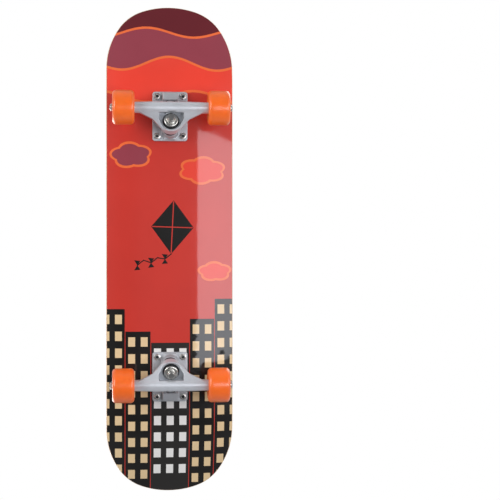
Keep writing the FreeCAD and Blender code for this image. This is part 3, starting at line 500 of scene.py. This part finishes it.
def board_height(x, y, level):
    """Height above the flat underside of the layer at that level, over a point of the plan."""
    lift = rise(np.asarray(y, dtype=float), level)
    run = np.abs(np.asarray(x, dtype=float)) - KICK_START
    radius = KICK_RADIUS - lift
    bend_end = radius * math.sin(KICK_ANGLE)
    bent = KICK_RADIUS - np.sqrt(np.maximum(radius**2 - np.clip(run, 0, bend_end) ** 2, 0.0))
    ramp = KICK_RADIUS - radius * math.cos(KICK_ANGLE) + (run - bend_end) * math.tan(KICK_ANGLE)
    return np.where(run <= 0, lift, np.where(run <= bend_end, bent, ramp))


def quarter_outline(inset):
    """Points of the outline from the nose tip round to the straight side."""
    tip, shoulder = TIP_RADIUS - inset, SHOULDER_RADIUS - inset
    tip_x = HALF_LENGTH - inset - tip
    shoulder_x = tip_x + math.cos(TIP_SWEEP) * (tip - shoulder)
    shoulder_y = math.sin(TIP_SWEEP) * (tip - shoulder)
    turn = math.sin(SHOULDER_SWEEP)
    side = (HALF_WIDTH - inset - shoulder_y - shoulder * turn) / (1 - turn)
    side_x = shoulder_x + math.cos(SHOULDER_SWEEP) * (shoulder - side)
    side_y = shoulder_y + turn * (shoulder - side)
    points = []
    arcs = (
        (tip_x, 0.0, tip, 0.0, TIP_SWEEP, 10),
        (shoulder_x, shoulder_y, shoulder, TIP_SWEEP, SHOULDER_SWEEP, 14),
        (side_x, side_y, side, SHOULDER_SWEEP, math.pi / 2, 16),
    )
    for x, y, radius, start, end, steps in arcs:
        for step in range(steps):
            angle = start + (end - start) * step / steps
            points.append((x + radius * math.cos(angle), y + radius * math.sin(angle)))
    points.append((side_x, side_y + side))
    straight = int(side_x / 8.0)
    points += [(side_x * (1 - k / straight), side_y + side) for k in range(1, straight)]
    return points


def outline(inset):
    """Closed outline, anticlockwise from the nose tip."""
    quarter = quarter_outline(inset)
    middle = (0.0, quarter[-1][1])
    left = quarter + [middle] + [(-x, y) for x, y in reversed(quarter)]
    right = [(x, -y) for x, y in reversed(left[1:-1])]
    return left + right


def inside(points, polygon):
    """Mask of the points that lie inside a polygon."""
    x, y = points[:, 0], points[:, 1]
    polygon = np.asarray(polygon)
    ax, ay = polygon[:, 0], polygon[:, 1]
    bx, by = np.roll(ax, -1), np.roll(ay, -1)
    hit = np.zeros(len(points), dtype=bool)
    box = (x >= ax.min()) & (x <= ax.max()) & (y >= ay.min()) & (y <= ay.max())
    if not box.any():
        return hit
    px, py = x[box], y[box]
    odd = np.zeros(len(px), dtype=bool)
    for sx, sy, ex, ey in zip(ax, ay, bx, by):
        if sy == ey:
            continue
        spans = (sy > py) != (ey > py)
        odd ^= spans & (px < (ex - sx) * (py - sy) / (ey - sy) + sx)
    hit[box] = odd
    return hit


def densify(polygon):
    """Polygon with extra points, so that its edges can follow the bent board."""
    points = []
    step = 6.0
    for (ax, ay), (bx, by) in zip(polygon, polygon[1:] + polygon[:1]):
        count = max(1, int(math.hypot(bx - ax, by - ay) / step))
        points += [(ax + (bx - ax) * k / count, ay + (by - ay) * k / count) for k in range(count)]
    return points


def grid_points(border):
    """Points that let a flat triangulation follow the kicks and the concave."""
    bend = 46.0
    xs = list(np.arange(0, KICK_START, 14.0)) + list(np.arange(KICK_START, KICK_START + bend, 3.5))
    xs += list(np.arange(KICK_START + bend + 4, HALF_LENGTH, 9.0))
    xs = sorted(set([round(v, 3) for v in xs] + [-round(v, 3) for v in xs]))
    ys = list(np.arange(-98.0, 98.1, 7.0)) + [-FLAT_HALF, FLAT_HALF]
    grid = np.array([(x, y) for x in xs for y in ys])
    return grid[inside(grid, border)]


def triangulate(border, shapes, holes=()):
    """Triangles over the border that follow every edge of the shapes."""
    vertices = [Vector(p) for p in border]
    edges = [(k, (k + 1) % len(border)) for k in range(len(border))]
    for shape in list(shapes) + list(holes):
        start = len(vertices)
        vertices += [Vector(p) for p in shape]
        edges += [(start + k, start + (k + 1) % len(shape)) for k in range(len(shape))]
    inner = np.array(border)
    shrunk = inner * np.array([(HALF_LENGTH - 4) / HALF_LENGTH, (HALF_WIDTH - 3) / HALF_WIDTH])
    vertices += [Vector(p) for p in grid_points(shrunk)]
    out = delaunay_2d_cdt(vertices, edges, [], 0, 1e-4)
    points = np.array([tuple(v) for v in out[0]])
    faces = np.array([f for f in out[2] if len(f) == 3])
    centres = points[faces].mean(axis=1)
    keep = inside(centres, border)
    for hole in holes:
        keep &= ~inside(centres, hole)
    used, renumbered = np.unique(faces[keep], return_inverse=True)
    return points[used], renumbered.reshape(-1, 3), centres[keep]


def on_board(points, level):
    """Plan points laid on the pressed board, at a level of its thickness."""
    heights = board_height(points[:, 0], points[:, 1], level) + DECK_HEIGHT
    return [(x, y, z) for (x, y), z in zip(points, heights)]


# ---------------------------------------------------------------- deck


def border_rings(inset, levels):
    """Rings of the outline, each at its own (extra inset, level)."""
    rings = []
    for extra, level in levels:
        points = np.array(outline(inset + extra))
        rings.append(on_board(points, level))
    return rings


def ring_faces(rings):
    faces = []
    count = len(rings[0])
    for k in range(len(rings) - 1):
        low, high = k * count, (k + 1) * count
        for step in range(count):
            follower = (step + 1) % count
            faces.append((low + step, low + follower, high + follower, high + step))
    return faces


def build_deck():
    """Seven plies with rounded edges and countersunk holes; the joints show along the rim."""
    ply = DECK_THICKNESS / PLY_COUNT
    levels = [(EDGE_ROUND, 0.0), (1.3, 0.4), (0.4, 1.1)]
    levels += [(0.0, ply * k) for k in range(2, PLY_COUNT - 1)]
    levels.insert(3, (0.15, ply))
    levels += [(0.15, ply * (PLY_COUNT - 1)), (0.4, 9.9), (1.3, 10.6), (EDGE_ROUND, DECK_THICKNESS)]
    rings = border_rings(DECK_INSET, levels)
    vertices = [v for ring in rings for v in ring]
    faces = ring_faces(rings)
    count = len(rings[0])
    bands = []
    for low, high in zip(levels, levels[1:]):
        middle = (low[1] + high[1]) / 2 / ply
        bands += [int(middle) % 2] * count
    border = outline(DECK_INSET + EDGE_ROUND)
    drilled = bolt_holes(DECK_HOLE_RADIUS)
    for level, holes in ((0.0, []), (DECK_THICKNESS, drilled)):
        points, triangles, _ = triangulate(border, [], holes)
        start = len(vertices)
        vertices += on_board(points, level)
        faces += [tuple(start + int(k) for k in face) for face in triangles]
        bands += [0] * len(triangles)
    for loop in drilled:
        rim = np.array(loop)
        middle = rim.mean(axis=0)
        floor = middle + (rim - middle) * SINK_RATIO
        start, count = len(vertices), len(loop)
        vertices += on_board(rim, DECK_THICKNESS) + on_board(floor, DECK_THICKNESS - SINK_DEPTH)
        for step in range(count):
            follower = (step + 1) % count
            faces.append((start + step, start + follower, start + count + follower, start + count + step))
        bands += [1] * count
    item = add_object("deck_maple", vertices, faces, [PLY_LIGHT, PLY_DARK], bands)
    merge(item, BOARD_MERGE)
    sharpen(item, 50.0)
    settle(item, "board", ["deck"])


# ---------------------------------------------------------------- printed underside

ART = []
ART_END = 400.0
ART_SIDE = 112.0
SKY_SIDE = 110.0
RIM = 4.0
WAVE_LENGTH = 24.0


def paint(ink, points):
    """Adds an area of one ink, over the areas that are there already."""
    ART.append((ink, densify(points)))


def box_points(x_low, x_high, y_low, y_high):
    return [(x_low, y_low), (x_high, y_low), (x_high, y_high), (x_low, y_high)]


def cloud_points(x, y, length, width, lobes, phase, grow):
    points = []
    steps = 24 * lobes
    for step in range(steps):
        angle = math.tau * step / steps
        bulge = 0.86 + 0.2 * abs(math.sin(lobes * angle / 2 + phase))
        along = (length / 2 * bulge + grow) * math.sin(angle)
        points.append((x + along, y + (width / 2 * bulge + grow) * math.cos(angle)))
    return points


def cloud(ink, x, y, length, width, lobes, phase):
    """Rounded cloud with a bright rim."""
    paint("cloud_rim", cloud_points(x, y, length, width, lobes, phase, RIM))
    paint(ink, cloud_points(x, y, length, width, lobes, phase, 0.0))


def stroke(ax, ay, bx, by, width, ink):
    """Straight line of ink, a little longer than the distance between its two ends."""
    length = math.hypot(bx - ax, by - ay)
    nx, ny = -(by - ay) / length * width / 2, (bx - ax) / length * width / 2
    ex, ey = (bx - ax) / length * width / 3, (by - ay) / length * width / 3
    paint(
        ink,
        [
            (ax + nx - ex, ay + ny - ey),
            (ax - nx - ex, ay - ny - ey),
            (bx - nx + ex, by - ny + ey),
            (bx + nx + ex, by + ny + ey),
        ],
    )


def wavy_band(ink, start, swing, phase):
    """Band from a wavy edge to the end of the nose, with a bright line along the edge."""
    ys = np.linspace(-ART_SIDE, ART_SIDE, 57)
    edge = [(start + swing * math.sin(y / WAVE_LENGTH + phase), y) for y in ys]
    corners = [(ART_END, ART_SIDE), (ART_END, -ART_SIDE)]
    paint("cloud_rim", [(x - RIM, y) for x, y in edge] + corners)
    paint(ink, edge + corners)


def dusk_sky():
    """Plain sky with three wavy bands over the nose and a few rounded clouds."""
    paint("sky_red", box_points(-ART_END, ART_END, -SKY_SIDE, SKY_SIDE))
    wavy_band("cloud_coral", 246, 9, 0.0)
    wavy_band("dusk_maroon", 300, 11, 1.6)
    wavy_band("deep_maroon", 352, 8, 3.1)
    cloud("dusk_maroon", 150, -62, 34, 58, 5, 0.4)
    cloud("cloud_coral", 126, 52, 36, 66, 6, 0.3)
    cloud("cloud_coral", -36, 72, 24, 46, 5, 0.6)


def kite():
    """Plain diamond kite with a bowed tail, between the clouds and the roofs."""
    paint("night_black", [(78, 6), (34, 38), (-8, 2), (36, -30)])
    stroke(76, 6, -6, 2, 1.6, "sky_red")
    stroke(34, 36, 36, -28, 1.6, "sky_red")
    tail = [(-8, 2), (-16, -8), (-14, -20), (-22, -30), (-18, -42), (-26, -52)]
    for (ax, ay), (bx, by) in zip(tail, tail[1:]):
        stroke(ax, ay, bx, by, 1.8, "night_black")
    for x, y in tail[1::2] + [tail[-1]]:
        paint("night_black", [(x, y), (x + 8, y - 5), (x + 7, y + 5)])
        paint("night_black", [(x, y), (x - 8, y - 5), (x - 7, y + 5)])


FLOOR_PITCH = 27.0
WINDOW_TALL = 15.0
WINDOW_MARGIN = 4.5
LAST_FLOOR = -374.0


def block(ink, glass, roof, y_low, y_high, across):
    """Plain upright building with a flat roof and even rows of windows."""
    paint(ink, box_points(-ART_END, roof, y_low, y_high))
    pitch = (y_high - y_low) / across
    for top in np.arange(roof - 2 * WINDOW_MARGIN, LAST_FLOOR, -FLOOR_PITCH):
        for column in range(across):
            low = y_low + column * pitch + WINDOW_MARGIN
            high = y_low + (column + 1) * pitch - WINDOW_MARGIN
            paint(glass, box_points(float(top) - WINDOW_TALL, float(top), low, high))


def skyline():
    """Flat-roofed blocks of different heights across the tail."""
    block("street_grey", "window_white", -150, -30, 31, 3)
    block("night_black", "window_cream", -96, -ART_SIDE, -72, 2)
    block("night_black", "window_cream", -132, -71, -31, 2)
    block("night_black", "window_cream", -112, 32, 71, 2)
    block("night_black", "window_cream", -80, 72, ART_SIDE, 2)


def build_graphic():
    """Generic printed film under the deck: the whole picture is cut into areas of one ink each."""
    dusk_sky()
    kite()
    skyline()
    points, triangles, centres = triangulate(outline(FILM_INSET), [shape for _, shape in ART])
    names = list(INKS)
    inks = np.zeros(len(triangles), dtype=int)
    for ink, shape in ART:
        inks[inside(centres, shape)] = names.index(ink)
    vertices = on_board(points, FILM_LEVEL)
    faces = [tuple(int(k) for k in face) for face in triangles]
    item = add_object("printed_graphic", vertices, faces, [INK_MATERIALS[n] for n in names], inks)
    settle(item, "board", [])


# ---------------------------------------------------------------- grip tape


def bolt_places(end):
    """Plan positions of one truck's four bolts."""
    for sign_x in (1, -1):
        for sign_y in (1, -1):
            yield end * TRUCK_X[end] + sign_x * BOLT_X, sign_y * BOLT_Y


def ring_points(x, y, radius, count):
    angles = [math.tau * k / count for k in range(count)]
    return [(x + radius * math.cos(a), y + radius * math.sin(a)) for a in angles]


def bolt_holes(radius):
    """Round loops over the eight deck bolts."""
    return [ring_points(x, y, radius, 28) for _, end in ENDS for x, y in bolt_places(end)]


def rounded_diamond(half_x, half_y, corner):
    """Diamond with its four tips rounded."""
    tips = [(half_x, 0), (0, half_y), (-half_x, 0), (0, -half_y)]
    points = []
    for k, tip in enumerate(tips):
        before, after = Vector(tips[k - 1]), Vector(tips[(k + 1) % 4])
        here = Vector(tip)
        start = here + (before - here).normalized() * corner
        end = here + (after - here).normalized() * corner
        for step in range(7):
            part = step / 6
            point = start.lerp(here, part).lerp(here.lerp(end, part), part)
            points.append(tuple(point))
    return points


def build_grip():
    """Grit sheet with a thin cut edge and a punched hole over every bolt."""
    border = outline(GRIP_INSET)
    holes = bolt_holes(GRIP_HOLE_RADIUS)
    points, triangles, _ = triangulate(border, [], holes)
    vertices = on_board(points, GRIP_TOP)
    faces = [tuple(int(k) for k in face) for face in triangles]
    for loop in [border] + holes:
        loop = np.array(loop)
        start = len(vertices)
        vertices += on_board(loop, DECK_THICKNESS + GRIP_BED) + on_board(loop, GRIP_TOP)
        count = len(loop)
        for step in range(count):
            follower = (step + 1) % count
            faces.append((start + step, start + follower, start + count + follower, start + count + step))
    item = add_object("grip_sheet", vertices, faces, [GRIT])
    merge(item, BOARD_MERGE)
    sharpen(item, 40.0)
    settle(item, "board", ["grip_tape"])


def build_badge():
    """Plain diamond printed on the grip, with a simple sun-and-wave mark."""
    diamond = rounded_diamond(22.0, 33.0, 6.0)
    sun = ring_points(3.0, 0.0, 6.5, 36)
    waves = []
    for offset in (-6.5, -10.5):
        reach = 9 + offset / 3
        top = [(offset + 1.2 * math.sin(y / 2.4), y) for y in np.linspace(-reach, reach, 24)]
        bottom = [(x - 1.6, y) for x, y in reversed(top)]
        waves.append(top + bottom)
    shapes = [sun] + waves
    points = [Vector(p) for p in diamond]
    edges = [(k, (k + 1) % len(diamond)) for k in range(len(diamond))]
    for shape in shapes:
        start = len(points)
        points += [Vector(p) for p in shape]
        edges += [(start + k, start + (k + 1) % len(shape)) for k in range(len(shape))]
    out = delaunay_2d_cdt(points, edges, [], 0, 1e-4)
    flat = np.array([tuple(v) for v in out[0]])
    triangles = np.array(out[2])
    centres = flat[triangles].mean(axis=1)
    keep = inside(centres, diamond)
    triangles, centres = triangles[keep], centres[keep]
    marks = np.zeros(len(triangles), dtype=int)
    for shape in shapes:
        marks[inside(centres, shape)] = 1
    vertices = [(x, y, DECK_HEIGHT + GRIP_TOP + BADGE_LIFT) for x, y in flat]
    faces = [tuple(int(k) for k in face) for face in triangles]
    item = add_object("grip_badge", vertices, faces, [BADGE, BADGE_MARK], marks)
    settle(item, "board", [])


# ---------------------------------------------------------------- trucks


def softened(node, name, material, voxel, passes, body):
    """Casting from its exact solid, with every edge eased as a mould leaves it."""
    item = bpy.data.objects.new(name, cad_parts[node].data.copy())
    bpy.context.scene.collection.objects.link(item)
    item.data.name = name
    merge(item, 1e-6)
    item.data.materials.clear()
    item.data.materials.append(material)
    remesh = item.modifiers.new("skin", "REMESH")
    remesh.mode = "VOXEL"
    remesh.voxel_size = voxel * MM
    remesh.use_smooth_shade = True
    ease = item.modifiers.new("ease", "SMOOTH")
    ease.factor = 0.5
    ease.iterations = passes
    settle(item, body, [node])


def turned(profile, matrix, index=0, segments=72):
    vertices, faces = lathe_data(profile, segments)
    return vertices, faces, matrix, index


def nut(flats, bottom, top, bore, matrix):
    vertices, faces = nut_data(flats, bottom, top, bore)
    return vertices, faces, matrix, 0


def lock_nut(flats, bottom, top, bore, crown, matrix):
    """Nut with a rolled crown that holds a nylon ring."""
    shoulder = top - crown
    outer = flats / 2 * 0.9
    rolled = [(outer - 1.3, shoulder - 0.3), (outer, shoulder - 0.3), (outer, top - 0.7)]
    rolled += [(outer - 0.5, top - 0.1), (outer - 1.0, top), (outer - 1.3, top - 0.3)]
    ring = [(bore, shoulder), (outer - 1.2, shoulder), (outer - 1.2, top - 0.25), (bore, top - 0.35)]
    return [nut(flats, bottom, shoulder, bore, matrix), turned(rolled, matrix), turned(ring, matrix, 1)]


def road_frame(end):
    """Kingpin frame turned over, so that z runs towards the road."""
    return kingpin_frame(end) @ Matrix.Rotation(math.pi, 4, "X")


def build_kingpin(word, end):
    """Kingpin with its hexagonal head in the baseplate, and its lock nut."""
    local = road_frame(end)
    shank = [(0.0, -30.0), (KINGPIN_RADIUS, -30.0), (KINGPIN_RADIUS, 8.0)]
    shank += thread_profile(KINGPIN_RADIUS, 9.0, 24.2, 1.05, 0.4)
    head = nut(KINGPIN_FLATS, -30.5, -25.6, 2.0, local)
    name = f"{word}_kingpin_bolt"
    piece(name, [turned(shank, local), head], [STEEL], "board", [f"{word}_kingpin"])
    parts = lock_nut(KINGPIN_FLATS, 16.0, 22.6, 4.8, 2.2, local)
    name = f"{word}_kingpin_lock_nut"
    piece(name, parts, [ZINC, NYLON], "board", [f"{word}_kingpin_nut"])


def washer_profile(face, sign):
    """Dished washer: face is the level that touches the bushing, sign points away from it."""
    rows = [(BUSHING_BORE, 0.35), (BUSHING_BORE, 1.45), (9.4, 1.45), (10.4, 1.2), (11.0, 0.65)]
    rows += [(11.2, 0.0), (10.6, 0.0), (10.3, 0.45), (9.2, 0.5)]
    return [(radius, face + sign * height) for radius, height in rows]


def build_bushings(word, end):
    """Two bushings between the hanger's ring and the washers beyond them."""
    local = road_frame(end)
    road = [(BUSHING_BORE, 4.6), (12.0, 4.55), (12.55, 4.8), (12.72, 5.5), (12.6, 7.0), (12.2, 9.0)]
    road += [(11.5, 11.2), (10.7, 13.2), (10.2, 14.2), (9.8, 14.5), (BUSHING_BORE, 14.5)]
    board = [(BUSHING_BORE, -19.4), (11.9, -19.45), (12.5, -19.0), (12.7, -18.2), (12.45, -15.0)]
    board += [(12.4, -12.0), (12.45, -9.0), (12.7, -5.8), (12.5, -5.0), (11.9, -4.6)]
    board.append((BUSHING_BORE, -4.55))
    for kind, profile, ring_face, washer_face in (("road", road, 4.6, 14.4), ("board", board, -4.6, -19.4)):
        fine = []
        for a, b in zip(profile, profile[1:]):
            fine += [tuple(Vector(a).lerp(Vector(b), k / 3)) for k in range(3)]
        fine.append(profile[-1])
        name = f"{word}_{kind}_bushing_soft"
        item = piece(name, [turned(fine, local)], [RUBBER], None, [])
        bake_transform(item)
        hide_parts(f"{word}_{kind}_bushing")
    for kind, profile in (("road", washer_profile(14.5, 1)), ("board", washer_profile(-19.5, -1))):
        name = f"{word}_{kind}_dished_washer"
        piece(name, [turned(profile, local)], [ZINC], "board", [f"{word}_{kind}_cup_washer"])


def cross_head(radius, top, depth):
    """Countersunk bolt head with a cross-shaped driver recess."""
    arm, reach, around, inner = 0.62, 2.5, 48, radius - 0.35
    cross = [(reach, -arm), (reach, arm), (arm, arm), (arm, reach), (-arm, reach), (-arm, arm)]
    cross += [(-reach, arm), (-reach, -arm), (-arm, -arm), (-arm, -reach), (arm, -reach), (arm, -arm)]
    points = [Vector(p) for p in ring_points(0, 0, inner, around) + cross]
    corners = len(cross)
    edges = [(k, (k + 1) % around) for k in range(around)]
    edges += [(around + k, around + (k + 1) % corners) for k in range(corners)]
    out = delaunay_2d_cdt(points, edges, [], 0, 1e-5)
    flat = np.array([tuple(v) for v in out[0]])
    triangles = np.array(out[2])
    recessed = inside(flat[triangles].mean(axis=1), cross)
    vertices = [(x, y, top) for x, y in flat] + [(x * 0.8, y * 0.8, top - depth) for x, y in flat]
    shift = len(flat)
    faces = [tuple(int(k) for k in face) for face in triangles[~recessed]]
    faces += [tuple(int(k) + shift for k in face) for face in triangles[recessed]]
    for k in range(corners):
        here, follower = around + k, around + (k + 1) % corners
        faces.append((here, follower, follower + shift, here + shift))
    start = len(vertices)
    rings = ((inner, top), (radius, top - 0.3), (BOLT_RADIUS, top - 2.6))
    for ring_radius, level in rings:
        vertices += [(x, y, level) for x, y in ring_points(0, 0, ring_radius, around)]
    for band in range(len(rings) - 1):
        low, high = start + band * around, start + (band + 1) * around
        for k in range(around):
            follower = (k + 1) % around
            faces.append((low + k, low + follower, high + follower, high + k))
    return vertices, faces


def build_deck_hardware(word, end):
    """One truck's four deck bolts and their lock nuts, each bolt turned its own way."""
    bolts, nuts = [], []
    shank = [(0.0, -9.0), (BOLT_RADIUS, -9.0)] + thread_profile(BOLT_RADIUS, -8.0, 11.1, 0.8, 0.28)
    for count, (x, y) in enumerate(bolt_places(end)):
        upright = Matrix.Translation((x, y, DECK_HEIGHT)) @ Matrix.Rotation(0.5 + 1.3 * count, 4, "Z")
        over = upright @ Matrix.Rotation(math.pi, 4, "X")
        vertices, faces = cross_head(BOLT_HEAD_RADIUS, DECK_THICKNESS, 1.5)
        bolts.append((vertices, faces, upright, 0))
        bolts.append(turned(shank, over))
        nuts += lock_nut(9.5, 5.55, 10.1, 2.45, 1.5, over)
    name = f"{word}_bolts_black"
    piece(name, bolts, [DARK_STEEL], "board", [f"{word}_deck_bolts"])
    piece(f"{word}_nuts_zinc", nuts, [ZINC, NYLON], "board", [f"{word}_deck_nuts"])


def build_axle(word, end):
    """Axle rod with a thread at both ends, and its two lock nuts."""
    local = axle_frame(end)
    truck = f"{word}_truck"
    half = [(0.0, 0.0), (AXLE_RADIUS, 0.0), (AXLE_RADIUS, 83.0)]
    half += thread_profile(AXLE_RADIUS, 84.0, AXLE_END, 0.95, 0.36)
    other = local @ Matrix.Rotation(math.pi, 4, "X")
    rod = [turned(half, local), turned(half, other)]
    piece(f"{word}_axle_rod", rod, [STEEL], truck, [f"{word}_axle"])
    nuts = []
    for _, side in HANDS:
        nuts += lock_nut(12.7, 13.05, 20.1, 4.05, 2.4, wheel_frame(end, side))
    piece(f"{word}_axle_lock_nuts", nuts, [ZINC, NYLON], truck, [f"{word}_axle_nuts"])


# ---------------------------------------------------------------- wheels


def arc_points(x, y, radius, start, end, steps):
    angles = np.linspace(math.radians(start), math.radians(end), steps)
    return [(x + radius * math.cos(a), y + radius * math.sin(a)) for a in angles]


def wheel_profile():
    """Wheel's section: half of it from the bearing seat round to the tread, then its mirror image."""
    floor, face = WHEEL_HALF - 4.6, WHEEL_HALF
    half = [(9.0, 5.0), (SEAT_RADIUS, 5.0), (SEAT_RADIUS, floor - 0.3), (11.4, floor), (14.3, floor)]
    half += arc_points(14.6, floor + 1.0, 1.0, -70, -40, 4)
    half += [(18.2, face - 1.4)] + arc_points(20.6, face - 1.6, 1.6, 150, 90, 5)
    half += arc_points(WHEEL_RADIUS - WHEEL_EDGE, face - WHEEL_EDGE, WHEEL_EDGE, 90, 0, 14)
    half += [(WHEEL_RADIUS, 8.0), (WHEEL_RADIUS, 4.0)]
    return half + [(radius, -height) for radius, height in reversed(half)]


def build_wheel(word, end, hand, side):
    """One urethane wheel; its bearings are CAD pieces."""
    name = f"{word}_{hand}"
    local = wheel_frame(end, side)
    body = f"{name}_wheel"
    tread = turned(wheel_profile(), local, 0, 128)
    piece(f"{name}_urethane", [tread], [URETHANE], body, [f"{name}_wheel"], degrees=28.0)


CARRIED = {
    "pivot_cup": CUP_PLASTIC,
    "speed_washers": ZINC,
    "inner_races": STEEL,
    "bearing_spacers": ALLOY,
    "outer_races": STEEL,
    "bearing_shields": SEAL,
    "bearing_balls": ZINC,
}


def dress_carried():
    """Finishes for the small CAD pieces that are shown as they are."""
    for name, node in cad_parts.items():
        for ending, material in CARRIED.items():
            if name.endswith(ending):
                node.data.materials.clear()
                node.data.materials.append(material)


# ---------------------------------------------------------------- stage


def floor_material():
    """Pale floor seen from above only, so that a view from below sees past it."""
    made = Nodes("studio_floor")
    made.set(Base_Color=made.ramp(made.noise(3.0), (0.3, srgb(236, 236, 236)), (0.7, srgb(242, 242, 242))))
    made.set(Roughness=0.9)
    clear = made.add("ShaderNodeBsdfTransparent")
    glow = made.add("ShaderNodeEmission")
    glow.inputs["Color"].default_value = srgb(238, 239, 240)
    glow.inputs["Strength"].default_value = 0.9
    pale = made.add("ShaderNodeMixShader")
    pale.inputs[0].default_value = 0.6
    side = made.add("ShaderNodeNewGeometry")
    mix = made.add("ShaderNodeMixShader")
    out = made.tree.nodes["Material Output"]
    made.link(side.outputs["Backfacing"], mix.inputs[0])
    made.link(made.shader.outputs[0], pale.inputs[1])
    made.link(glow.outputs[0], pale.inputs[2])
    made.link(pale.outputs[0], mix.inputs[1])
    made.link(clear.outputs[0], mix.inputs[2])
    made.link(mix.outputs[0], out.inputs["Surface"])
    return made.material


def build_floor():
    """Large flat floor just under the wheels, which takes no part in the light on the board."""
    half, level = 9000.0, -0.2
    corners = [(x, y, level) for x, y in box_points(-half, half, -half, half)]
    floor = add_object("studio_floor", corners, [(0, 1, 2, 3)], [floor_material()], smooth=False)
    floor.visible_shadow = False
    floor.visible_glossy = False
    floor.visible_diffuse = False


def area_light(name, place, target, width, height, power, colour=(1, 1, 1)):
    """Rectangular light in metres and watts, aimed at a target."""
    data = bpy.data.lights.new(name, "AREA")
    data.shape = "RECTANGLE"
    data.size, data.size_y = width, height
    data.energy = power
    data.color = colour
    lamp = bpy.data.objects.new(name, data)
    lamp.location = place
    lamp.rotation_mode = "QUATERNION"
    lamp.rotation_quaternion = (Vector(target) - Vector(place)).to_track_quat("-Z", "Y")
    bpy.context.scene.collection.objects.link(lamp)
    return lamp


def build_world():
    """White backdrop for the camera, and an ambient light that is dimmer from below."""
    world = bpy.data.worlds.new("studio")
    bpy.context.scene.world = world
    world.use_nodes = True
    tree = world.node_tree
    backdrop = tree.nodes["Background"]
    backdrop.inputs["Color"].default_value = (1, 1, 1, 1)
    backdrop.inputs["Strength"].default_value = 1.0
    ambient = tree.nodes.new("ShaderNodeBackground")
    ambient.inputs["Color"].default_value = (0.93, 0.96, 1.0, 1)
    direction = tree.nodes.new("ShaderNodeTexCoord")
    split = tree.nodes.new("ShaderNodeSeparateXYZ")
    grade = tree.nodes.new("ShaderNodeMapRange")
    grade.inputs["From Min"].default_value = -0.95
    grade.inputs["From Max"].default_value = -0.1
    grade.inputs["To Min"].default_value = 0.1
    grade.inputs["To Max"].default_value = 0.6
    tree.links.new(direction.outputs["Generated"], split.inputs[0])
    tree.links.new(split.outputs["Z"], grade.inputs["Value"])
    tree.links.new(grade.outputs["Result"], ambient.inputs["Strength"])
    rays = tree.nodes.new("ShaderNodeLightPath")
    mix = tree.nodes.new("ShaderNodeMixShader")
    tree.links.new(rays.outputs["Is Camera Ray"], mix.inputs[0])
    tree.links.new(ambient.outputs[0], mix.inputs[1])
    tree.links.new(backdrop.outputs[0], mix.inputs[2])
    tree.links.new(mix.outputs[0], tree.nodes["World Output"].inputs["Surface"])
    scene = bpy.context.scene
    scene.view_settings.view_transform = "Standard"
    scene.view_settings.look = "None"


def build_lights():
    """Large soft lights round the board; the softbox lies square to it, below its left half."""
    middle = (0, 0, 0.08)
    area_light("key_below", (0.7, -2.2, -1.4), middle, 1.7, 1.7, 50)
    area_light("fill_below", (0.5, 2.4, -1.3), middle, 1.7, 1.7, 30)
    softbox = area_light("softbox", (0.005, 0.916, -1.9), (0.005, 0.916, 0), 1.5, 0.71, 19, (0.93, 0.94, 1))
    softbox.rotation_quaternion = Matrix(((0, 1, 0), (1, 0, 0), (0, 0, -1))).to_quaternion()
    area_light("key_above", (-1.2, -1.8, 2.6), middle, 1.8, 1.8, 60)
    area_light("fill_above", (1.8, 1.4, 2.2), middle, 1.8, 1.8, 28)


CAMERA_DISTANCE = 2225.0
CAMERA_LENS = 100.0
CAMERA_SIDE = -84.0
PICTURE_OFFSET = 128.3
CAMERA_ALONG = -1.6


def build_camera():
    """Long lens straight below the board, a little to its right-hand side."""
    data = bpy.data.cameras.new("camera")
    data.lens = CAMERA_LENS
    data.sensor_width = 36.0
    data.dof.use_dof = False
    camera = bpy.data.objects.new("camera", data)
    yaw = math.atan2(PICTURE_OFFSET, CAMERA_DISTANCE) + math.atan2(-CAMERA_SIDE, CAMERA_DISTANCE)
    forward = Vector((0, math.sin(yaw), math.cos(yaw)))
    up = Vector((1, 0, 0))
    right = forward.cross(up)
    basis = Matrix((right, up, -forward)).transposed()
    place = Vector((CAMERA_ALONG, CAMERA_SIDE, DECK_HEIGHT - CAMERA_DISTANCE)) * MM
    camera.matrix_world = Matrix.Translation(place) @ basis.to_4x4()
    bpy.context.scene.collection.objects.link(camera)
    bpy.context.scene.camera = camera


# ---------------------------------------------------------------- assembly

build_deck()
build_graphic()
build_grip()
build_badge()
for word, end in ENDS:
    softened(f"{word}_hanger", f"{word}_hanger_cast", ALLOY, 0.6, 5, f"{word}_truck")
    softened(f"{word}_baseplate", f"{word}_baseplate_cast", PLATE_ALLOY, 0.6, 4, "board")
    build_kingpin(word, end)
    build_bushings(word, end)
    build_deck_hardware(word, end)
    build_axle(word, end)
    for hand, side in HANDS:
        build_wheel(word, end, hand, side)
dress_carried()
build_floor()
build_world()
build_lights()
build_camera()
